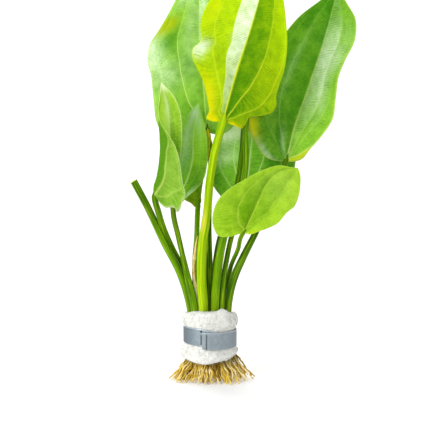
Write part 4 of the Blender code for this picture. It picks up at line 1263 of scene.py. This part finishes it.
rolled_leaf = {
    "node": "leaf_rolled", "shows": "upper",
    "slant": (0.4, 0.4),
    "veins": [
        (-0.85, 0.35, [(0, -0.75), (0.08, -0.76), (0.16, -0.83), (0.22, -0.84), (0.3, -0.94), (1, -0.97)]),
        (-0.71, 0.8, [(0, -0.72), (0.08, -0.72), (0.15, -0.69), (0.33, -0.69), (0.46, -0.72),
                      (0.62, -0.85), (1, -0.9)]),
        (-0.45, 0.0, [(0, -0.45), (1, -0.45)]),
        (0.5, 0.15),
    ],
    "light": [(-1, 0.75), (-0.62, 0.7), (-0.45, 0.5), (-0.3, 1.0), (0, 1.0), (0.1, 0.45), (1, 0.55)],
    "painted_light_and_shade_along": [(0, 0.0), (0.6, 0.0), (1, 0.35)],
    "painted_light_and_shade_bands": [(-0.71, -0.45, [(0, -0.75), (0.6, -0.7), (0.7, 0.0), (1, 0.0)])],
    "painted_light_and_shade_patches": [(0.03, -0.85, 0.12, 0.25, -0.6), (0.75, -0.1, 0.12, 0.3, 0.4)],
    "pale": [(1.0, 0.0, 0.07, 2.0, 1.5), (0.8, 0.0, 0.2, 0.2, 0.5)],
    "upper": ("#72b602", "#c8ea4a", "#fbfdea", "#e8f698", "#f2f8b8", "#ccee08", "#d8d820"),
    "under": ("#5ea004", "#aad050", "#e6f2c4", "#dcec7c", "#f6f9c8", "#c0ea08", "#d8d820"),
    "under_gloss": 0.5, "shine": 0.06, "network": 0.12,
}


def rolled_grid(leaf, rows, count):
    """The rolled blade's middle surface, read across its four lines."""
    joint, tip, length = blade_ends(leaf)
    lines = [smooth_line([joint] + line + [tip], rows) for line in ROLLED_LINES]
    runs, t, v = grid_shares(leaf, rows, count)
    grid = np.zeros((rows, count, 3))
    half = np.zeros((rows, count))
    for i in range(rows):
        across = [line[i] for line in lines][::-1]
        knots = chord_knots(across) + np.arange(4) * 1e-6
        grid[i] = through(knots, across, np.interp(v[i], LINE_PLACES[::-1], knots))
        half[i] = np.where(v[i] < 0, knots[2], knots[-1] - knots[2])
    top, fade = LOWER_MARGIN
    low = np.clip((top - grid[..., 2]) / fade, 0, 1) * np.clip((-0.6 - v) / 0.4, 0, 1)
    grid[..., 2] += SCALLOP[0] * low * np.sin(2 * np.pi * grid[..., 0] / SCALLOP[1])
    drop, place, width = HANGING_LOBE
    grid[..., 2] -= drop * low * np.exp(-(((grid[..., 0] - place) / width) ** 4))
    grid[0] = joint
    grid[-1] = tip
    return grid, runs, t * length, half * np.abs(v), half, t, v


grow("rolled_blade", rolled_leaf, rolled_grid(rolled_leaf, 220, 72))

# Wool collar
# A sleeve of white mineral wool wrapped round the crown: felted rock fibre, pressed against the stalks
# and pinched by the strip. Loose fibres stand up all over it.
COLLAR_SEGMENTS = 300
COLLAR_STEPS = 92
COLLAR_CENTRE_X = 0.3
COLLAR_INNER = 16.2
COLLAR_WAIST = 17.3
COLLAR_SHOULDER = 18.9
COLLAR_FLARE = 19.5
COLLAR_BOTTOM = 18.1
COLLAR_TOP = 46.8
HIDDEN_INSIDE = 36.0  # the height under which the sleeve's inner side is out of sight
STRIP_WIDTH = 12.0
STRIP_MIDDLE = 31.2
STRIP_SIDE_DROP = 0.9
WOOL_LUMPS = ((4.2, 0.34), (1.7, 0.24), (0.8, 0.20))  # width and height
WOOL_FIBRES = 4800
FIBRE_RADIUS = 0.05
FIBRE_STEPS = 5
FIBRE_SIDES = 3
WOOL_SEED = 21


def collar_profile(turn):
    """The sleeve's section at one turn: up its outer side, over its rim and down against the stalks."""
    side, front = math.cos(turn), -math.sin(turn)
    waist = STRIP_MIDDLE - STRIP_SIDE_DROP * side
    half = STRIP_WIDTH / 2 + 0.8
    bottom = COLLAR_BOTTOM + 1.1 * side - 1.65 * front - 2.25 * front * front
    bottom += 0.25 * math.cos(5 * turn)
    flare = COLLAR_FLARE - 0.35 * side
    top = COLLAR_TOP + 3.0 * front + 0.5 * front * front + 0.3 * math.sin(5 * turn)
    top += 1.8 * math.exp(-(((turn - math.radians(303)) / 0.20) ** 2))
    pressed = 14.2 + 0.5 * side - 1.6 * max(0, front) ** 2 - 5.4 * max(0, -front) ** 2
    return [
        (COLLAR_INNER, bottom + 0.8),
        (COLLAR_INNER + 1.6, bottom),
        (flare - 0.4, bottom + 0.5),
        (flare, bottom + 0.35 * (waist - half - bottom)),
        (COLLAR_WAIST + 0.5, waist - half - 0.4),
        (COLLAR_WAIST, waist - half + 1.0),
        (COLLAR_WAIST, waist + half - 1.0),
        (COLLAR_WAIST + 0.7, waist + half + 0.4),
        (COLLAR_SHOULDER + 0.2, waist + half + 2.8),
        (COLLAR_SHOULDER + 0.2, top - 3.2),
        (COLLAR_SHOULDER - 0.8, top - 0.6),
        (0.5 * (COLLAR_SHOULDER + pressed), top + 0.2),
        (pressed + 0.8, top - 0.4),
        (pressed, top - 2.5),
        (pressed + 0.3, 38.0),
        (COLLAR_INNER - 0.6, 34.8),
        (COLLAR_INNER, 32.0),
    ]


def round_collar(reach, turn, height):
    """Points at that reach and turn round the collar's middle, and at that height."""
    spots = (COLLAR_CENTRE_X + reach * np.cos(turn), reach * np.sin(turn), height)
    return np.stack(np.broadcast_arrays(*spots), axis=-1)


def wool_ring():
    """The felted body of the sleeve, lumpy except under the strip."""
    rings = []
    for turn in ring_turns(COLLAR_SEGMENTS):
        outline = collar_profile(float(turn))
        reach, height = smooth_line(outline + outline[:1], COLLAR_STEPS + 1)[:-1].T
        rings.append(round_collar(reach, turn, height))
    grid = np.array(rings)
    around = np.roll(grid, -1, axis=0) - np.roll(grid, 1, axis=0)
    over = np.roll(grid, -1, axis=1) - np.roll(grid, 1, axis=1)
    normals = np.cross(around, over)
    normals /= np.linalg.norm(normals, axis=-1, keepdims=True)
    side = (grid[..., 0] - COLLAR_CENTRE_X) / np.hypot(grid[..., 0] - COLLAR_CENTRE_X, grid[..., 1])
    from_strip = np.abs(grid[..., 2] - STRIP_MIDDLE + STRIP_SIDE_DROP * side) - STRIP_WIDTH / 2
    free = np.clip((from_strip + 0.2) / 1.6, 0.05, 1)
    lumps = sum(height * wander(grid, width) for width, height in WOOL_LUMPS)
    return grid + normals * (lumps * free)[..., None], normals, free


def ring_faces(around, over):
    """Faces of a closed ring, whose grid of points joins up both ways."""
    index = np.arange(around * over).reshape(around, over)
    beside = np.roll(index, -1, axis=0)
    return quads(index, beside, np.roll(beside, -1, axis=1), np.roll(index, -1, axis=1))


def fibre_parts(grid, normals, free):
    """Thin loose fibres that arch over the felt and stick out of it here and there."""
    chance = random.Random(WOOL_SEED)
    parts = []
    while len(parts) < WOOL_FIBRES:
        i = chance.randrange(grid.shape[0])
        j = chance.randrange(grid.shape[1])
        x, y, height = grid[i, j]
        inside = height < HIDDEN_INSIDE and math.hypot(x, y) < COLLAR_WAIST - 0.3
        if inside or free[i, j] < 0.4:
            continue
        out = Vector(normals[i, j])
        heading = Vector([chance.gauss(0, 1) for _ in range(3)])
        heading = (heading - out * heading.dot(out)).normalized()
        bend = out.cross(heading) * chance.uniform(-0.5, 0.5)
        length = chance.uniform(1.2, 4.0)
        loft = chance.uniform(0.05, 0.35) * length * 0.4
        open_end = chance.random() < 0.3
        line = []
        for k in range(FIBRE_STEPS):
            s = k / (FIBRE_STEPS - 1)
            arch = s * (1.6 - 0.6 * s) if open_end else math.sin(math.pi * s)
            spot = Vector(grid[i, j]) - out * 0.1 + heading * length * (s - 0.5)
            line.append(spot + bend * length * s * (1 - s) + out * loft * arch)
        rings = tube(line, [FIBRE_RADIUS] * FIBRE_STEPS, FIBRE_SIDES)
        parts.append((rings.reshape(-1, 3), tube_faces(FIBRE_STEPS, FIBRE_SIDES), {}))
    return parts


def mineral_wool():
    """Mineral wool: felted glassy fibre, matt white and a little see-through at its edges, which gives
    the eye soft fluff, with grey flecks of painted shade for its hollows."""
    made, tree, shader = material_named("mineral_wool")
    place = add(tree, "ShaderNodeTexCoord", {}, {}).outputs["Object"]
    # Tufts of about 3 mm, and a felt of crossing fibres drawn 0.5 mm apart, coarser than the real one.
    tuft = grained(tree, place, 330.0, 4.0)
    felt = grained(tree, place, 1900.0, 5.0)
    white = blended(tree, fitted(tree, tuft, 0.35, 0.65), colour("#d6d7d1"), colour("#e6e6e1"))
    # Grey flecks in the felt: painted shade for the hollows between its fibres.
    felt_with_painted_shade = blended(tree, fitted(tree, felt, 0.56, 0.70, 0.0, 0.30), white, colour("#c0c2ba"))
    give(tree, shader, {
        "Base Color": felt_with_painted_shade, "Normal": relief(tree, felt, 0.6, 0.4), "Roughness": 0.95, "IOR": 1.45,
        "Sheen Weight": 0.25, "Sheen Roughness": 0.5,
    })
    return made


grid, normals, free = wool_ring()
body = (grid.reshape(-1, 3), ring_faces(*grid.shape[:2]), {})
fluff = joined([body] + fibre_parts(grid, normals, free))
wool = piece("mineral_wool_sleeve", *fluff, [mineral_wool()])
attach(wool, "root")
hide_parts("wool_collar")

# Metal strip
# A soft strip of dull blue-grey lead-like metal, 12 mm wide, bent by hand once round the wool. Its end
# lies over its start in front, with a crease next to it; the start has a punched hole and a slit.
STRIP_THICKNESS = 0.9
STRIP_TURN_DROP = 2.2
STRIP_START = math.radians(285)
STRIP_SWEEP = math.radians(390)
STRIP_CLIMB = (math.radians(346), math.radians(358))
STRIP_ROWS = 46
STRIP_COLUMNS = 320
STRIP_START_DROP = (1.5, 11.0)  # the start slants down behind the outer layer: how far, over what length
WAIST_RADIUS = 17.4
LAYER_GAP = 0.3
CREASE = (2.9, 0.40, 0.45)  # its distance from the outer end, half width and depth
CREASE_TOP = 4.7
TAB_RISE = 0.20
SLIT_TURN = math.radians(251.2)
SLIT = (0.34, 0.36)  # half width and depth
SLIT_REACH = (-5.6, 2.4)  # from and to, across the strip
HOLE_PLACE = 4.3
HOLE = (0.68, 0.8)  # radius and depth
EDGE_ROUND = 0.42


def eased(place, start, end):
    """0 before start, 1 after end and a soft step between them."""
    s = np.clip((place - start) / (end - start), 0, 1)
    return s * s * (3 - 2 * s)


def strip_places():
    """Places along the strip, close together at its slit, its crease and its two ends."""
    fine = np.linspace(0, 1, 6001)
    run = STRIP_SWEEP * (WAIST_RADIUS + 1)
    slit = (STRIP_START - SLIT_TURN) / STRIP_SWEEP
    crease = 1 - CREASE[0] / run
    density = np.ones_like(fine)
    for centre, reach in ((slit, 0.9), (crease, 0.8), (1.0, 0.8), (0.0, 0.6)):
        density += 9 * np.exp(-(((fine - centre) / (reach / run)) ** 2))
    return spread(fine, density, STRIP_COLUMNS)


def strip_sides():
    """The strip's outer and inner surfaces as grids, with painted shadow in its slit, hole and crease,
    painted shade on its flanks and a painted highlight along its edges.
    """
    part = strip_places()[:, None]
    edge = np.sin(np.linspace(-np.pi / 2, np.pi / 2, STRIP_ROWS))[None, :] * STRIP_WIDTH / 2
    sweep = STRIP_SWEEP * part
    turn = STRIP_START - sweep
    inner = WAIST_RADIUS + LAYER_GAP + STRIP_THICKNESS / 2
    radius = inner + (STRIP_THICKNESS + LAYER_GAP) * eased(sweep, *STRIP_CLIMB)
    middle = STRIP_MIDDLE - STRIP_SIDE_DROP * np.cos(turn) + STRIP_TURN_DROP * (0.5 - part)
    middle = middle - STRIP_START_DROP[0] * (1 - eased(sweep * inner, 0, STRIP_START_DROP[1]))
    from_end = (1 - part) * STRIP_SWEEP * (inner + 1.2)
    from_slit = (turn - SLIT_TURN) * inner
    crease = np.exp(-(((from_end - CREASE[0]) / CREASE[1]) ** 2))
    crease = crease * (1 - eased(edge, CREASE_TOP - 0.4, CREASE_TOP + 0.3))
    shape = TAB_RISE * (1 - eased(from_end, CREASE[0] - 0.9, CREASE[0] - 0.3)) - CREASE[2] * crease
    low, high = SLIT_REACH
    within = eased(edge, low, low + 0.8) * (1 - eased(edge, high - 0.8, high))
    first_turn = sweep < np.pi
    narrowing = SLIT[0] * (1.25 - 0.08 * edge)
    slit = first_turn * within * np.exp(-((from_slit / narrowing) ** 2))
    hole = first_turn * np.exp(-(((from_slit**2 + (edge - HOLE_PLACE) ** 2) / HOLE[0] ** 2) ** 3))
    dents = 0.04 * np.sin(3 * turn + 1.1) + 0.02 * np.sin(0.5 * edge + 2 * turn)
    beyond = np.clip((np.abs(edge) - STRIP_WIDTH / 2 + EDGE_ROUND) / EDGE_ROUND, 0, 1)
    rounding = EDGE_ROUND * (1 - np.sqrt(1 - beyond**2))
    outer = radius + STRIP_THICKNESS / 2 + shape + dents - SLIT[1] * slit - HOLE[1] * hole - rounding
    back = radius - STRIP_THICKNESS / 2 + dents * 0.5 + rounding * 0.8 + 0 * edge
    height = middle + edge * (1 + 0.012 * np.sin(5 * turn))
    sides = [round_collar(reach, turn, height) for reach in (outer, back)]
    # Painted shadow in the slit, the hole and the crease.
    gap = np.clip(0.7 * slit + hole + 0.65 * crease, 0, 1)
    # Painted shade on the left and right flanks.
    shade = np.clip(-np.cos(turn), 0, 1) ** 3 + 0.6 * np.clip(np.cos(turn), 0, 1) ** 3 + 0 * edge
    # Painted highlight along both cut edges, the upper one brighter.
    rim = np.exp(-(((np.abs(edge) - STRIP_WIDTH / 2 + 0.15) / 0.35) ** 2)) * np.where(edge > 0, 1.0, 0.35)
    run, edge, rim = (np.broadcast_to(values, gap.shape) for values in (sweep * inner, edge, rim))
    return *sides, gap, run, edge, shade, rim


def strip_part():
    """The strip as a part: its outer and inner sides, its two edges and its two ends."""
    outer, inner, gap, run, edge, shade, rim = strip_sides()
    rows, columns = outer.shape[:2]
    points = np.concatenate([outer.reshape(-1, 3), inner.reshape(-1, 3)])
    near = np.arange(rows * columns).reshape(rows, columns)
    far = near + rows * columns
    faces = quads(near[:-1, 1:], near[1:, 1:], near[1:, :-1], near[:-1, :-1])
    faces += quads(far[:-1, :-1], far[1:, :-1], far[1:, 1:], far[:-1, 1:])
    faces += side_walls(near, far)
    for j in range(columns - 1):
        faces.append((near[0, j + 1], near[0, j], far[0, j], far[0, j + 1]))
        faces.append((near[-1, j], near[-1, j + 1], far[-1, j + 1], far[-1, j]))
    values = {
        "gap": np.concatenate([gap.ravel(), np.zeros(gap.size)]),
        "shade": np.concatenate([shade.ravel()] * 2),
        "rim": np.concatenate([rim.ravel()] * 2),
        "brushed": np.concatenate([np.stack([run, edge, 0 * run], axis=-1).reshape(-1, 3)] * 2),
    }
    return points, [tuple(int(k) for k in face) for face in faces], values


def dull_lead():
    """Rolled lead strip: a soft metal with a dull blue-grey oxide skin, rolled with faint lines along
    it, with a painted highlight along its cut edges and painted shade on its flanks and in its slit,
    hole and crease, which gives the eye a heavy, matt metal."""
    made, tree, shader = material_named("dull_lead")
    gap, shade, rim = (attribute(tree, label) for label in ("gap", "shade", "rim"))
    brushed = attribute(tree, "brushed", "Vector")
    # Rolling lines 0.3 mm apart, and oxide clouds of 4 mm.
    rolled = grained(tree, stretched(tree, brushed, (0.06, 1.0, 1.0)), 3.5, 2.0)
    cloud = grained(tree, brushed, 0.25, 3.0)
    oxide = blended(tree, fitted(tree, cloud, 0.35, 0.65), colour("#8a969e"), colour("#9ba6ad"))
    streaked = blended(tree, fitted(tree, rolled, 0.35, 0.7, 0.0, 0.35), oxide, colour("#76828a"))
    # Painted shade: the left and right flanks are darkened in the colour, which doesn't follow the lights.
    painted_flank_shade = blended(tree, fitted(tree, shade, 0.0, 1.0, 0.0, 0.95), streaked, colour("#4c5a66"))
    # Painted highlight along both cut edges, the upper one brighter.
    painted_edge_highlight = blended(tree, fitted(tree, rim, 0.0, 1.0, 0.0, 0.8), painted_flank_shade, colour("#c6d0d8"))
    # Painted shadow in the slit, the punched hole and the crease.
    dark = blended(tree, fitted(tree, gap, 0.1, 0.8, 0.0, 0.9), painted_edge_highlight, colour("#28323a"))
    give(tree, shader, {
        "Base Color": dark, "Normal": relief(tree, rolled, 0.15, 0.2),
        "Roughness": fitted(tree, cloud, 0.3, 0.7, 0.40, 0.54), "Metallic": 0.8,
    })
    return made


points, faces, values = strip_part()
strip = piece("wound_metal_strip", points, faces, values, [dull_lead()])
strip.data.set_sharp_from_angle(angle=math.radians(50))
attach(strip, "root")
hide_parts("metal_strip")

# Floor, lights and camera
# The plant stands on a plain white light table that runs out to a white surround: the table glows a
# little, one broad soft light comes from the left in front and one from behind shines through the leaves.
FLOOR_RADIUS = 60.0
FLOOR_LEVEL = -0.0001  # just under the roots' cut ends
FLOOR_GLOW = 0.34
CAMERA_PLACE = (0.0038, -1.18973, 0.27193)
CAMERA_TILT = 82.5
FRAME_PIXELS = 430
FOCAL_PIXELS = 1737.4
SENSOR = 36.0

bpy.ops.mesh.primitive_circle_add(
    vertices=96, radius=FLOOR_RADIUS, fill_type="NGON", location=(0, 0, FLOOR_LEVEL))
floor = bpy.context.object
floor.name = "studio_floor"
# A matt white sheet, lit a little from below, that gives the eye a plain bright ground.
table, tree, shader = material_named("matt_white_light_table")
place = add(tree, "ShaderNodeTexCoord", {}, {}).outputs["Object"]
speckle = grained(tree, place, 40.0, 2.0)
give(tree, shader, {
    "Base Color": blended(tree, speckle, colour("#cacaca"), colour("#cccccc")),
    "Roughness": 0.9, "Specular IOR Level": 0.0,
    "Emission Color": (1, 1, 1, 1), "Emission Strength": FLOOR_GLOW,
})
floor.data.materials.append(table)

world = bpy.data.worlds.new("white_surround")
world.use_nodes = True
bpy.context.scene.world = world
tree = world.node_tree
sky = add(tree, "ShaderNodeTexCoord", {}, {}).outputs["Generated"]
rise = add(tree, "ShaderNodeSeparateXYZ", {}, {"Vector": sky}).outputs["Z"]
strength = fitted(tree, rise, 0.12, 0.4, 1.02, 0.68)
give(tree, tree.nodes["Background"], {"Strength": strength, "Color": (1, 1, 1, 1)})


def soft_sun(name, heading, strength, width, tint):
    """A wide soft light that shines along the heading."""
    light = bpy.data.lights.new(name, "SUN")
    light.energy = strength
    light.angle = math.radians(width)
    light.color = colour(tint)[:3]
    lamp = bpy.data.objects.new(name, light)
    lamp.rotation_euler = Vector(heading).to_track_quat("-Z", "Y").to_euler()
    bpy.context.scene.collection.objects.link(lamp)


soft_sun("key_light", (0.62, 0.62, -0.45), 1.9, 35, "#ffffff")
soft_sun("back_light", (0.25, -0.75, -0.60), 2.6, 50, "#fffdf2")

camera = bpy.data.cameras.new("camera")
camera.lens = FOCAL_PIXELS / FRAME_PIXELS * SENSOR
camera.sensor_width = SENSOR
camera.clip_end = 200.0
viewer = bpy.data.objects.new("camera", camera)
viewer.location = CAMERA_PLACE
viewer.rotation_euler = (math.radians(CAMERA_TILT), 0, 0)
bpy.context.scene.collection.objects.link(viewer)
bpy.context.scene.camera = viewer
bpy.context.scene.view_settings.view_transform = "Standard"
